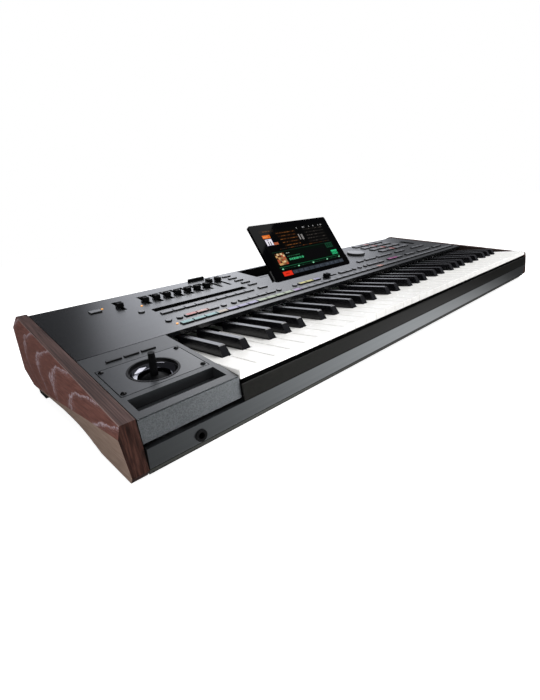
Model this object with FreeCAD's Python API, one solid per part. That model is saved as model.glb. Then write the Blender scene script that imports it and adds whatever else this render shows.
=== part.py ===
import FreeCAD, Part
import math
import os

# Arranger keyboard, millimetres. +X runs along the keys to the right, +Y to the back, +Z up.
# The origin is on the surface that the feet stand on, under the middle of the case.
# The joystick block and the panel share one sloping deck: places on it are given as
# (x, v, w), with v up the slope from the deck's front edge and w square to the deck.

# Keys
octave_count = 5
white_pitch = 23.5
white_gap = 1.0
white_height = 9.0
white_top_wall = 3.0
white_side_wall = 2.0
white_length = 150.0
white_edge = 0.6
black_slot = 14.0
black_setback = 50.0
black_length = 98.0
black_foot_width = 11.0
black_top_width = 8.8
black_rise = 12.0
black_front_rake = 7.0
black_edge = 1.0
notch_clearance = 1.5
key_top_height = 64.0
key_dip = 10.0
key_reach = 205.0
key_pivot_drop = 8.0
key_tail_width = 9.0
key_tail_height = 8.0
key_tail_overhang = 14.0
key_hub_radius = 5.0
pivot_rod_radius = 2.0
running_clearance = 0.08

# Case
cheek_width = 105.5
cheek_key_gap = 0.8
end_key_gap = 1.6
rail_projection = 3.0
deck_setback = 1.8
deck_front_height = 58.8
deck_slope = 9.55
cheek_length = 145.2
side_gap = 0.9
panel_seam = 1.2
rear_reach = 63.4
panel_thickness = 2.0
panel_lip_drop = 6.0
panel_lip_thickness = 2.0

# Wooden end panels
wood_proud = 0.4
wood_top_thickness = 13.5
wood_front_lean = 2.0
wood_toe_height = 3.4
wood_toe_chamfer = 8.0
wood_toe_length = 81.0
wood_arch_length = 89.0
wood_arch_height = 15.0
wood_arch_start_reach = 22.0
wood_arch_start_rise = 7.2
wood_arch_end_reach = 45.0
wood_back_slope_length = 55.0
wood_back_slope_drop = 21.0
wood_back_knee_height = 29.5
wood_back_undercut = 52.0
wood_spare = 20.0
wood_front_crease = (17.0, 50.5, 14.3)
wood_key_crease = (18.0, 39.5, 13.4)
wood_panel_crease = (18.7, 27.0, 6.5)
wood_back_crease = (19.7, 8.0, 12.0)
wood_key_station = 100.0
wood_panel_station = 212.0

# Base, rail, slip and feet
tray_height = 9.0
tray_thickness = 2.0
tray_wall_height = 22.0
rail_top_drop = 32.0
rail_face_height = 20.0
rail_face_lean = 3.5
rail_foot_height = 8.4
rail_foot_lean = 6.0
rail_thickness = 3.0
rail_flange_depth = 15.0
slip_key_gap = 0.8
slip_depth = 1.6
slip_height = 18.6
slip_edge = 0.5
front_foot_inset = 0.5
front_foot_width = 9.0
front_foot_length = 60.0
front_foot_start = 14.0
rear_foot_inset = 3.0
rear_foot_width = 12.0
rear_foot_length = 37.0
rear_foot_end_gap = 1.0

# Joystick block
block_wall = 2.5
block_top_wall = 4.5
block_front_drop = 23.4
block_seam_drop = 0.6
block_seam_height = 1.0
block_seam_depth = 1.2
plate_side_margin = 6.1
plate_start = 41.0
plate_length = 64.5
plate_thickness = 2.0
plate_clearance = 0.9
plate_shelf = 8.0
screw_inset_x = 3.7
screw_inset_v = 5.0
screw_head_radius = 3.0
screw_head_height = 2.0
screw_shank_radius = 1.3
screw_length = 8.0
trough_side_margin = 7.2
trough_start = 9.4
trough_length = 23.4
trough_back_depth = 12.0
trough_front_depth = 2.0
trough_wall = 2.0
trough_line_run = 5.8
trough_line_width = 0.9
trough_line_depth = 0.8
bowl_v = 71.5
bowl_radius = 27.0
bowl_lip_height = 0.4
bowl_lip_width = 2.4
bowl_throat_radius = 17.3
bowl_depth = 8.0
bowl_wall = 1.5
bowl_knee_radius = 22.8
bowl_knee_depth = 5.2
stick_pivot_depth = 28.5
stick_dome_radius = 23.0
stick_radius = 5.0
stick_tip_radius = 3.4
stick_rise = 18.5
gimbal_clearance = 0.6
gimbal_ring_width = 3.0
gimbal_height = 6.0
gimbal_pin_radius = 2.0
gimbal_arm_gap = 0.5
gimbal_arm_thickness = 3.0
switch_count = 3
switch_width = 16.5
switch_depth = 4.0
switch_pitch = 19.8
switch_start_x = 22.6
switch_v = 119.5

# Buttons
button_clearance = 0.3
button_pressed_rise = 0.8
button_travel = 1.0
button_edge = 0.5
flange_thickness = 1.2
flange_width = 1.0
column_pitch = 19.15
first_column = 42.6
button_width = 17.2
front_row_depth = 9.0
front_row_u = 19.5
row_depth = 8.0
middle_row_u = 42.0
rear_row_u = 75.0
front_row_count = 42
middle_row_columns = [1, 2, 3, 6, 7, 8, 9, 13, 14, 15, 19, 20, 24, 25, 26, 28, 29, 30, 32, 33, 35, 36, 37,
                      39, 40]
rear_row_columns = [0, 1, 2, 3, 4, 5, 6, 7, 8, 9.6, 24.5, 26, 27, 28.5, 29.5, 30.5, 32.5, 33.5, 36.5,
                    37.5, 38.5]
round_columns = [-0.8, 0.1, 4, 5, 10, 12, 21, 22, 23]
round_radius = 4.6
lone_round_x = 17.0
lone_round_u = 102.0
side_column_count = 5
side_column_x = 227.0
side_column_u = 103.0
side_column_pitch = 19.5
side_button_depth = 6.0
keypad_columns = 4
keypad_rows = 4
keypad_x = 655.0
keypad_u = 107.0
keypad_pitch_x = 31.5
keypad_pitch_u = 26.0
keypad_width = 26.0
keypad_depth = 14.0
power_x = -31.0
power_u = 151.0
power_width = 16.0
power_depth = 12.0

# Faders, dial, inlays
fader_count = 9
high_fader_count = 2
fader_first_x = 46.0
fader_slot_u = 129.0
fader_slot_length = 48.0
fader_slot_width = 6.0
fader_stem_width = 2.0
fader_stem_length = 6.0
fader_cap_width = 9.0
fader_cap_length = 13.0
fader_cap_height = 6.0
fader_cap_gap = 0.6
fader_stem_drop = 2.0
fader_pocket_drop = 4.0
fader_body_width = 8.0
fader_body_height = 6.0
fader_body_margin = 6.0
fader_rest = 18.0
fader_high_rest = 38.0
volume_x = 5.0
cross_x = 367.5
cross_u = 42.0
cross_slot_length = 41.0
cross_rest = 9.0
dial_x = 577.0
dial_u = 133.0
dial_radius = 21.0
dial_height = 3.6
dial_gap = 0.6
dial_shaft_radius = 3.0
dial_edge = 1.2
encoder_size = 13.0
strip_start_x = 33.0
strip_length = 171.0
strip_u = 96.5
strip_depth = 12.0
inlay_rise = 0.6
inlay_clearance = 0.2
port_cover_x = 800.0
port_cover_u = 125.0
port_cover_width = 11.0
port_cover_depth = 39.0
light_radius = 1.6
light_rise = 0.8
light_places = [(30.0, 129.0), (30.0, 24.0), (-19.0, 157.0)]
clip_x = 172.0
clip_width = 33.0
clip_depth = 4.5
clip_height = 4.5

# Display and its tray
display_x = 364.5
display_u = 71.0
display_lift = 3.0
display_angle = 58.4
display_width = 213.0
display_height = 118.0
display_corner = 4.0
glass_thickness = 1.2
frame_thickness = 2.4
cover_thickness = 1.6
frame_border = 8.0
lcd_thickness = 2.0
lcd_clearance = 0.4
foot_chamfer_height = 5.0
lug_top = 24.0
lug_width = 3.2
lug_depth = 3.0
hump_half_width = 97.0
hump_start = 7.0
hump_length = 49.0
hump_depth = 7.3
hump_edge = 5.0
hump_heel = 1.2
hinge_height = 11.0
hinge_depth = 9.0
hinge_spread = 70.0
hinge_pin_radius = 2.0
hinge_pin_bury = 6.0
bracket_gap = 0.5
bracket_thickness = 5.0
bracket_crown_radius = 3.4
well_start_u = 136.5
well_length = 61.5
well_half_width = 98.0
well_depth = 25.0
well_back_gap = 5.4
tray_sheet = 2.0
tray_rim = 4.0
groove_width = 2.0
groove_depth = 1.0
groove_u = 127.5

# Inside
frame_sheet = 2.0
frame_end_gap = 0.6
frame_deck_height = 24.0
frame_front = 14.0
frame_wall = 3.0
key_stop_gap = 0.5
frame_back_margin = 5.0
rod_bracket_thickness = 2.0
felt_thickness = 3.0
felt_depth = 8.0
spring_radius = 2.2
spring_gap = 0.3
contact_board_start = 70.0
contact_board_depth = 44.0
board_thickness = 1.6
contact_rubber_start = 80.0
contact_rubber_depth = 18.0
contact_rubber_height = 17.0
panel_board_start = 12.0
panel_board_end_gap = 8.0
main_board_length = 360.0
main_board_x = 60.0
main_board_front_gap = 6.0
main_board_back_gap = 30.0
standoff_height = 6.0
standoff_radius = 3.5
supply_length = 110.0
supply_height = 36.0
supply_side_gap = 42.0
supply_front_gap = 6.0
supply_back_gap = 24.0

# Rear panel and sockets
rear_sheet = 2.0
rear_inset = 3.0
rear_gap = 0.3
jack_count = 4
jack_inset = 147.0
jack_pitch = 34.0
jack_bore_radius = 3.2
jack_body_radius = 5.8
jack_nut_radius = 7.0
jack_nut_height = 2.0
jack_length = 16.0
jack_floor = 2.0
jack_height = 66.0
headphone_x = -54.2
headphone_drop = 12.2
inlet_inset = 85.0
inlet_width = 28.0
inlet_height = 20.0
inlet_depth = 22.0
inlet_wall = 2.0
inlet_flange = 4.0
case_screw_radius = 3.0
case_screw_height = 1.6
case_screw_inset_x = 60.0
case_screw_inset_y = 40.0

# How far a cutting tool runs past what it cuts
over = 1.0

# Derived places
octave = 7 * white_pitch
white_count = 7 * octave_count + 1
keys_width = white_count * white_pitch
inner_width = cheek_width + cheek_key_gap + keys_width + end_key_gap
inner_left = -inner_width / 2
inner_right = inner_width / 2
cheek_right = inner_left + cheek_width
keys_left = cheek_right + cheek_key_gap
slope = math.radians(deck_slope)
panel_length = well_start_u + well_length + well_back_gap
deck_run = (cheek_length + panel_length) * math.cos(slope)
case_depth = rail_projection + deck_setback + deck_run + rear_reach
case_front = -case_depth / 2
case_back = case_depth / 2
key_front = case_front + rail_projection
pivot_y = key_front + key_reach
pivot_z = key_top_height - key_pivot_drop
white_bottom = key_top_height - white_height
deck_front = key_front + deck_setback
panel_start = cheek_length + panel_seam
tray_top = tray_height + tray_thickness
button_rise = button_pressed_rise + button_travel
board_w = -panel_thickness - fader_body_height
stem_w = -panel_thickness - fader_stem_drop
pocket_w = -panel_thickness - fader_pocket_drop
black_top = key_top_height + black_rise
frame_right = inner_right - tray_thickness - frame_end_gap
dip_at_frame = key_dip * (key_reach - frame_front) / key_reach
frame_front_height = white_bottom - dip_at_frame - key_stop_gap - felt_thickness


def vec(x, y, z):
    return FreeCAD.Vector(x, y, z)


def box(x0, x1, y0, y1, z0, z1):
    """A block between two corners."""
    return Part.makeBox(x1 - x0, y1 - y0, z1 - z0, vec(x0, y0, z0))


def prism_x(points, x0, x1):
    """A (y, z) outline drawn out along X."""
    ring = [vec(x0, y, z) for y, z in points]
    face = Part.Face(Part.makePolygon(ring + ring[:1]))
    return face.extrude(vec(x1 - x0, 0, 0))


def prism_y(points, y0, y1):
    """An (x, z) outline drawn out along Y."""
    ring = [vec(x, y0, z) for x, z in points]
    face = Part.Face(Part.makePolygon(ring + ring[:1]))
    return face.extrude(vec(0, y1 - y0, 0))


def bent_sheet(points, thickness):
    """Closed outline of a sheet: a bent line, and the same line moved to its left by the thickness."""
    normals = []
    for (y0, z0), (y1, z1) in zip(points, points[1:]):
        length = math.hypot(y1 - y0, z1 - z0)
        normals.append(((z0 - z1) / length, (y1 - y0) / length))
    moved = []
    for number, (y, z) in enumerate(points):
        before = normals[max(number - 1, 0)]
        after = normals[min(number, len(normals) - 1)]
        share = thickness / (1 + before[0] * after[0] + before[1] * after[1])
        moved.append((y + share * (before[0] + after[0]), z + share * (before[1] + after[1])))
    return points + moved[::-1]


def rod_x(radius, x0, x1, y, z):
    return Part.makeCylinder(radius, x1 - x0, vec(x0, y, z), vec(1, 0, 0))


def rod_y(radius, x, y0, y1, z):
    return Part.makeCylinder(radius, y1 - y0, vec(x, y0, z), vec(0, 1, 0))


def rod_z(radius, x, y, z0, z1):
    return Part.makeCylinder(radius, z1 - z0, vec(x, y, z0), vec(0, 0, 1))


def turned(points, x, y):
    """A closed (radius, height) outline turned about the upright line through (x, y)."""
    ring = [vec(x + r, y, z) for r, z in points]
    face = Part.Face(Part.makePolygon(ring + ring[:1]))
    return face.revolve(vec(x, y, 0), vec(0, 0, 1), 360)


def cut(shape, tools):
    return shape.cut(Part.makeCompound(tools)) if tools else shape


def fuse(shapes):
    whole = shapes[0].multiFuse(shapes[1:])
    return whole.removeSplitter()


def placed(shape, placement):
    return shape.transformed(placement.toMatrix(), True)


deck_placement = FreeCAD.Placement(vec(0, deck_front, deck_front_height),
                                   FreeCAD.Rotation(vec(1, 0, 0), deck_slope))


def on_deck(shape):
    """Takes a shape drawn in (x, v, w) to its place on the sloping deck."""
    return placed(shape, deck_placement)


def deck_point(x, v, w):
    return deck_placement.multVec(vec(x, v, w))


def panel_v(u):
    """Distance up the deck of a place that lies u behind the panel's front edge."""
    return cheek_length + u


def key_x(offset):
    """X of a place measured from the left edge of the first white key."""
    return keys_left + offset


def column_x(column):
    return key_x(first_column + column * column_pitch)


def save(node, shape):
    shape.exportStep("parts/" + node + ".step")


def save_group(node, shapes):
    save(node, Part.makeCompound(shapes))


# Keys

def key_tail(x, start):
    """Bar from the back of a key to its hub, with the pivot bore and the spring seat behind it."""
    half = key_tail_width / 2
    low = pivot_z - key_tail_height / 2
    bar = box(x - half, x + half, key_front + start, pivot_y + key_tail_overhang, low, low + key_tail_height)
    hub = rod_x(key_hub_radius, x - half, x + half, pivot_y, pivot_z)
    return [bar, hub]


def pivot_bore(x):
    return rod_x(pivot_rod_radius + running_clearance, x - key_tail_width, x + key_tail_width, pivot_y,
                 pivot_z)


def white_key(x0, tail0, tail1):
    """One white key: a channel with a lip in front, notched beside the black keys, on its tail."""
    left = x0 + white_gap / 2
    right = x0 + white_pitch - white_gap / 2
    top = key_top_height
    outline = [(left, white_bottom), (right, white_bottom), (right, top - white_edge),
               (right - white_edge, top),
               (left + white_edge, top), (left, top - white_edge)]
    body = prism_y(outline, key_front, key_front + white_length)
    notch_front = key_front + black_setback - notch_clearance
    back = key_front + white_length
    inner0 = max(left, tail0)
    inner1 = min(right, tail1)
    cuts = [
        box(x0 - over, inner0, notch_front, back + over, white_bottom - over, top + over),
        box(inner1, x0 + white_pitch + over, notch_front, back + over, white_bottom - over, top + over),
        box(left + white_side_wall, right - white_side_wall, key_front + white_side_wall,
            notch_front - white_side_wall, white_bottom - over, top - white_top_wall),
        box(inner0 + white_side_wall, inner1 - white_side_wall, key_front + white_side_wall,
            back - white_side_wall, white_bottom - over, top - white_top_wall),
    ]
    front_edge = prism_x([(key_front, top - white_edge), (key_front, top + over),
                          (key_front + white_edge, top + over),
                          (key_front + white_edge, top)], left - over, right + over)
    middle = (tail0 + tail1) / 2
    whole = fuse([cut(body, cuts + [front_edge])] + key_tail(middle, white_length - white_side_wall))
    return whole.cut(pivot_bore(middle)), middle


def black_key(middle):
    """One black key: a bar narrowing upwards with a raked front, on its tail."""
    foot = black_foot_width / 2
    crown = black_top_width / 2
    low = white_bottom
    outline = [(-foot, low), (foot, low), (foot, key_top_height), (crown, black_top - black_edge),
               (crown - black_edge, black_top), (black_edge - crown, black_top),
               (-crown, black_top - black_edge),
               (-foot, key_top_height)]
    start = key_front + black_setback
    body = prism_y([(middle + x, z) for x, z in outline], start, start + black_length)
    rake = prism_x([(start - over, key_top_height), (start, key_top_height),
                    (start + black_front_rake - black_edge, black_top - black_edge),
                    (start + black_front_rake + black_edge, black_top),
                    (start + black_front_rake, black_top + over),
                    (start - over, black_top + over)], middle - foot - over, middle + foot + over)
    tail_start = black_setback + black_length - white_side_wall
    whole = fuse([body.cut(rake)] + key_tail(middle, tail_start))
    return whole.cut(pivot_bore(middle))


note_groups = [["c", "c_sharp", "d", "d_sharp", "e"], ["f", "f_sharp", "g", "g_sharp", "a", "a_sharp", "b"]]


def octave_notes():
    """Yields each note of the octave with its white or black place, in octave coordinates."""
    group_start = 0.0
    for notes in note_groups:
        whites = [note for note in notes if "sharp" not in note]
        tail_width = (len(whites) * white_pitch - (len(whites) - 1) * black_slot) / len(whites)
        tail_start = group_start
        white_start = group_start
        for note in notes:
            if "sharp" in note:
                yield note, None, tail_start + black_slot / 2
                tail_start += black_slot
            else:
                yield note, white_start, (tail_start, tail_start + tail_width)
                tail_start += tail_width
                white_start += white_pitch
        group_start += len(whites) * white_pitch


def build_keys():
    """Twelve groups of keys, one for each note name, and the middle of every key's tail."""
    tails = []
    for note, white_start, place in octave_notes():
        keys = []
        if white_start is None:
            shape = black_key(keys_left + place)
            middle = keys_left + place
        else:
            shape, middle = white_key(keys_left + white_start, keys_left + place[0], keys_left + place[1])
        for number in range(octave_count):
            keys.append(shape.translated(vec(number * octave, 0, 0)))
            tails.append(middle + number * octave)
        if note == "c":
            last = keys_left + octave_count * octave
            shape, middle = white_key(last, last, last + white_pitch)
            keys.append(shape)
            tails.append(middle)
        colour = "black_keys_" if white_start is None else "white_keys_"
        save_group(colour + note, keys)
    return tails


# Key frame and what it carries

def build_key_frame(tails):
    back = frame_back_y
    front = key_front + frame_front
    deck = frame_deck_height
    outline = [(front, tray_top), (front + frame_wall, tray_top), (front + frame_wall, deck - frame_sheet),
               (back - frame_wall, deck - frame_sheet), (back - frame_wall, tray_top), (back, tray_top),
               (back, deck),
               (front + frame_wall, deck), (front + frame_wall, frame_front_height),
               (front, frame_front_height)]
    pieces = [prism_x(outline, keys_left, frame_right)]
    brackets = [keys_left + number * octave for number in range(octave_count + 1)]
    brackets.append(frame_right - rod_bracket_thickness)
    reach = key_hub_radius + pivot_rod_radius
    for x in brackets:
        pieces.append(box(x, x + rod_bracket_thickness, pivot_y - reach, pivot_y + reach, deck - frame_sheet,
                          pivot_z + reach))
    frame = fuse(pieces)
    bore = rod_x(pivot_rod_radius, keys_left - over, frame_right + over, pivot_y, pivot_z)
    save("key_frame", frame.cut(bore))
    save("key_pivot_rod", rod_x(pivot_rod_radius, keys_left, frame_right, pivot_y, pivot_z))

    spring_y = pivot_y + key_tail_overhang - spring_radius
    seat = pivot_z - key_tail_height / 2 - spring_gap
    save_group("key_springs", [rod_z(spring_radius, x, spring_y, deck, seat) for x in tails])

    save("key_felt", box(keys_left, frame_right, front - (felt_depth - frame_wall) / 2,
                         front + (felt_depth + frame_wall) / 2, frame_front_height,
                         frame_front_height + felt_thickness))
    board_y = key_front + contact_board_start
    board = box(keys_left, frame_right, board_y, board_y + contact_board_depth, deck, deck + board_thickness)
    rubber_y = key_front + contact_rubber_start
    foot = deck + board_thickness
    quarter = contact_rubber_depth / 4
    profile = [(rubber_y, foot), (rubber_y + contact_rubber_depth, foot),
               (rubber_y + contact_rubber_depth - quarter, foot + contact_rubber_height),
               (rubber_y + quarter, foot + contact_rubber_height)]
    save_group("key_contacts", [board, prism_x(profile, keys_left, frame_right)])


# Wooden end panels

def deck_height(y):
    return deck_front_height + (y - deck_front) * math.tan(slope)


under_back_y = case_back - wood_back_undercut
back_top_y = case_back - wood_back_slope_length
back_top_z = deck_height(back_top_y) + wood_proud
shoulder_z = back_top_z - wood_back_slope_drop


def wood_section(y, crease_x, crease_z, bottom_x):
    """Cross-section of an end panel at y: x is counted outwards from its inner face."""
    top = deck_height(y) + wood_proud
    below = -wood_arch_height
    return [vec(0, y, top), vec(wood_top_thickness, y, top), vec(crease_x, y, crease_z),
            vec(bottom_x, y, below),
            vec(0, y, below)]


def wood_end():
    """An end panel drawn outwards from x = 0: a faceted board cut to its side outline."""
    beyond = wood_spare
    stations = [(case_front - beyond, wood_front_crease), (key_front + wood_key_station, wood_key_crease),
                (key_front + wood_panel_station, wood_panel_crease), (case_back + beyond, wood_back_crease)]
    wires = []
    for y, crease in stations:
        ring = wood_section(y, *crease)
        wires.append(Part.makePolygon(ring + ring[:1]))
    board = Part.makeLoft(wires, True, True)

    front_low = deck_front - wood_front_lean
    high = back_top_z + beyond
    crest_y = back_top_y - beyond * wood_back_slope_length / wood_back_slope_drop
    toe_back = key_front + wood_toe_length
    arch_back = toe_back + wood_arch_length
    low_run = [vec(0, front_low, wood_toe_height + wood_toe_chamfer),
               vec(0, front_low + wood_toe_chamfer, wood_toe_height), vec(0, toe_back, wood_toe_height)]
    arch = Part.BezierCurve()
    arch.setPoles([low_run[-1], vec(0, toe_back + wood_arch_start_reach,
                                    wood_toe_height + wood_arch_start_rise),
                   vec(0, arch_back - wood_arch_end_reach, wood_arch_height),
                   vec(0, arch_back, wood_arch_height)])
    back_run = [vec(0, arch_back, wood_arch_height), vec(0, under_back_y, wood_arch_height),
                vec(0, case_back, wood_back_knee_height), vec(0, case_back, shoulder_z),
                vec(0, crest_y, high),
                vec(0, deck_front, high), vec(0, deck_front, deck_front_height), low_run[0]]
    edges = Part.makePolygon(low_run).Edges + [arch.toShape()] + Part.makePolygon(back_run).Edges
    outline = Part.Face(Part.Wire(Part.__sortEdges__(edges)))
    return board.common(outline.extrude(vec(beyond + wood_top_thickness, 0, 0)))


def build_wood_ends():
    right = wood_end()
    left = right.mirror(vec(0, 0, 0), vec(1, 0, 0))
    save("right_wood_end", right.translated(vec(inner_right, 0, 0)))
    save("left_wood_end", left.translated(vec(inner_left, 0, 0)))

    front = key_front + front_foot_start
    back = under_back_y - rear_foot_end_gap
    feet = []
    for side in (-1, 1):
        x0, x1 = sorted(side * (inner_right + front_foot_inset + reach) for reach in (0, front_foot_width))
        feet.append(box(x0, x1, front, front + front_foot_length, 0, wood_toe_height))
        x0, x1 = sorted(side * (inner_right + rear_foot_inset + reach) for reach in (0, rear_foot_width))
        feet.append(box(x0, x1, back - rear_foot_length, back, 0, wood_arch_height))
    save_group("rubber_feet", feet)


# Base tray, rail and key slip

rail_top = key_top_height - rail_top_drop
rail_crease_y = case_front + rail_face_lean
rail_foot_y = rail_crease_y + rail_foot_lean
rail_back = case_front + rail_flange_depth
rail_bottom = rail_top - rail_face_height - rail_foot_height
rear_y = case_back - rear_inset
rear_foot_y = under_back_y - rear_inset
frame_back_y = pivot_y + key_tail_overhang + frame_back_margin
main_board_y = frame_back_y + main_board_front_gap
main_board_depth = rear_foot_y - main_board_back_gap - main_board_y
supply_y = frame_back_y + supply_front_gap
supply_depth = rear_foot_y - supply_back_gap - supply_y


def build_tray():
    front = rail_back
    back = rear_foot_y - rear_sheet
    plate = box(inner_left, inner_right, front, back, tray_height, tray_top)
    walls = [box(inner_left, inner_left + tray_thickness, front, back, tray_height,
                 tray_top + tray_wall_height),
             box(inner_right - tray_thickness, inner_right, front, back, tray_height,
                 tray_top + tray_wall_height)]
    standoffs = []
    half_x = main_board_length / 2 - standoff_radius
    for side in (-1, 1):
        for y in (main_board_y + standoff_radius, main_board_y + main_board_depth - standoff_radius):
            standoffs.append(rod_z(standoff_radius, main_board_x + side * half_x, y, tray_top,
                                   tray_top + standoff_height))
    save("base_tray", fuse([plate] + walls + standoffs))

    screws = []
    for x in (inner_left + case_screw_inset_x, 0, inner_right - case_screw_inset_x):
        for y in (front + case_screw_inset_y, back - case_screw_inset_y):
            screws.append(rod_z(case_screw_radius, x, y, tray_height - case_screw_height, tray_height))
    return screws


def socket(x, face_y, z, out):
    """A socket in a face at face_y, open towards out, which is -1 for the front and 1 for the back."""
    tip = face_y + out * jack_nut_height
    end = face_y - out * jack_length
    floor = end + out * jack_floor
    mouth = tip + out * over
    body = rod_y(jack_body_radius, x, min(tip, end), max(tip, end), z)
    return body.cut(rod_y(jack_bore_radius, x, min(floor, mouth), max(floor, mouth), z))


def build_front():
    """Bent rail with the headphone socket, and the slip that stands on it in front of the keys."""
    crease_z = rail_top - rail_face_height
    outline = bent_sheet([(rail_back, rail_top), (case_front, rail_top), (rail_crease_y, crease_z),
                          (rail_foot_y, rail_bottom)], rail_thickness)
    hole_z = rail_top - headphone_drop
    x = key_x(headphone_x)
    rail = prism_x(outline, inner_left + side_gap, inner_right - side_gap)
    save("front_rail", rail.cut(rod_y(jack_body_radius, x, case_front - over, rail_back + over, hole_z)))

    back = key_front - slip_key_gap
    front = back - slip_depth
    top = rail_top + slip_height
    profile = [(front, rail_top), (back, rail_top), (back, top), (front + slip_edge, top),
               (front, top - slip_edge)]
    save("key_slip", prism_x(profile, cheek_right, inner_right))
    face_y = case_front + rail_face_lean * headphone_drop / rail_face_height
    return socket(x, face_y, hole_z, -1)


# Joystick block

plate_left = inner_left + plate_side_margin
plate_right = cheek_right - plate_side_margin - cheek_key_gap
plate_x = (plate_left + plate_right) / 2


def trough_outline(margin):
    """Side outline (v, w) of the trough's hollow, or of its tub where margin is the wall."""
    back = trough_start + trough_length + margin
    front = trough_start - margin
    return [(front, margin), (front, -trough_front_depth - margin), (back, -trough_back_depth - margin),
            (back, margin)]


def switch_places():
    first = inner_left + switch_start_x + switch_width / 2
    return [first + number * switch_pitch for number in range(switch_count)]


def build_block():
    skirt = rail_back - deck_front
    floor = tray_top
    drop = deck_front_height - block_front_drop
    back = deck_placement.multVec(vec(0, cheek_length, 0))
    outer = [(deck_front, deck_front_height), (deck_front, drop), (deck_front + skirt, drop),
             (deck_front + skirt, floor),
             (back.y, floor), (back.y, back.z)]
    shell = prism_x(outer, inner_left + tray_thickness, cheek_right)
    upper = prism_x(outer[:3] + [(back.y, drop), outer[5]], inner_left + side_gap,
                    inner_left + tray_thickness)
    hollow_low = drop - over
    ceiling = [deck_point(0, block_wall, -block_top_wall),
               deck_point(0, cheek_length + over, -block_top_wall)]
    hollow = prism_x([(deck_front + block_wall, hollow_low), (deck_front + skirt, hollow_low),
                      (deck_front + skirt, floor - over), (back.y + over, floor - over),
                      (back.y + over, ceiling[1].z),
                      (deck_front + block_wall, ceiling[0].z)],
                     inner_left + tray_thickness + block_wall, cheek_right - block_wall)
    tub = on_deck(prism_x(trough_outline(trough_wall), inner_left + trough_side_margin - trough_wall,
                          cheek_right - trough_side_margin + trough_wall))
    above = on_deck(box(inner_left, cheek_right, 0, cheek_length, 0, trough_back_depth))
    body = fuse([fuse([shell, upper]).cut(hollow), tub.cut(above)])

    gap = plate_clearance
    rebate = box(plate_left - gap, plate_right + gap, plate_start - gap, plate_start + plate_length + gap,
                 -plate_thickness, over)
    opening = box(plate_left + plate_shelf, plate_right - plate_shelf, plate_start + plate_shelf / 2,
                  plate_start + plate_length - plate_shelf / 2, -stick_pivot_depth, over)
    trough = prism_x(trough_outline(0), inner_left + trough_side_margin,
                     cheek_right - trough_side_margin)
    mouth = box(inner_left + trough_side_margin, cheek_right - trough_side_margin, trough_start,
                trough_start + trough_length, -trough_front_depth, over)
    slots = [box(x - switch_width / 2 - button_clearance, x + switch_width / 2 + button_clearance,
                 switch_v - switch_depth / 2 - button_clearance,
                 switch_v + switch_depth / 2 + button_clearance,
                 -block_top_wall - over, over) for x in switch_places()]
    holes = [rod_z(screw_shank_radius, x, v, -block_top_wall - over, over) for x, v in screw_places()]
    fall = (trough_back_depth - trough_front_depth) / trough_length
    line_floor = trough_front_depth + fall * trough_line_run
    line_v = trough_start + trough_line_run
    line = box(inner_left + trough_side_margin, cheek_right - trough_side_margin, line_v,
               line_v + trough_line_width, -line_floor - trough_line_depth, 0)
    seam_top = deck_front_height - block_seam_drop
    seam = box(inner_left - over, cheek_right + over, deck_front - over, deck_front + block_seam_depth,
               seam_top - block_seam_height, seam_top)
    tools = [on_deck(tool) for tool in [rebate, opening, trough, mouth, line] + slots + holes]
    save("joystick_block", cut(body, tools + [seam]))


def screw_places():
    xs = (plate_left + screw_inset_x, plate_right - screw_inset_x)
    vs = (plate_start + screw_inset_v, plate_start + plate_length - screw_inset_v)
    return [(x, v) for x in xs for v in vs]


def dome(radius, height, x, v):
    """Round cap on the deck: the part of a ball above the plane where it is radius wide."""
    ball_radius = (radius ** 2 + height ** 2) / (2 * height)
    ball = Part.makeSphere(ball_radius, vec(x, v, height - ball_radius))
    return ball.common(rod_z(radius, x, v, 0, height))


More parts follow.
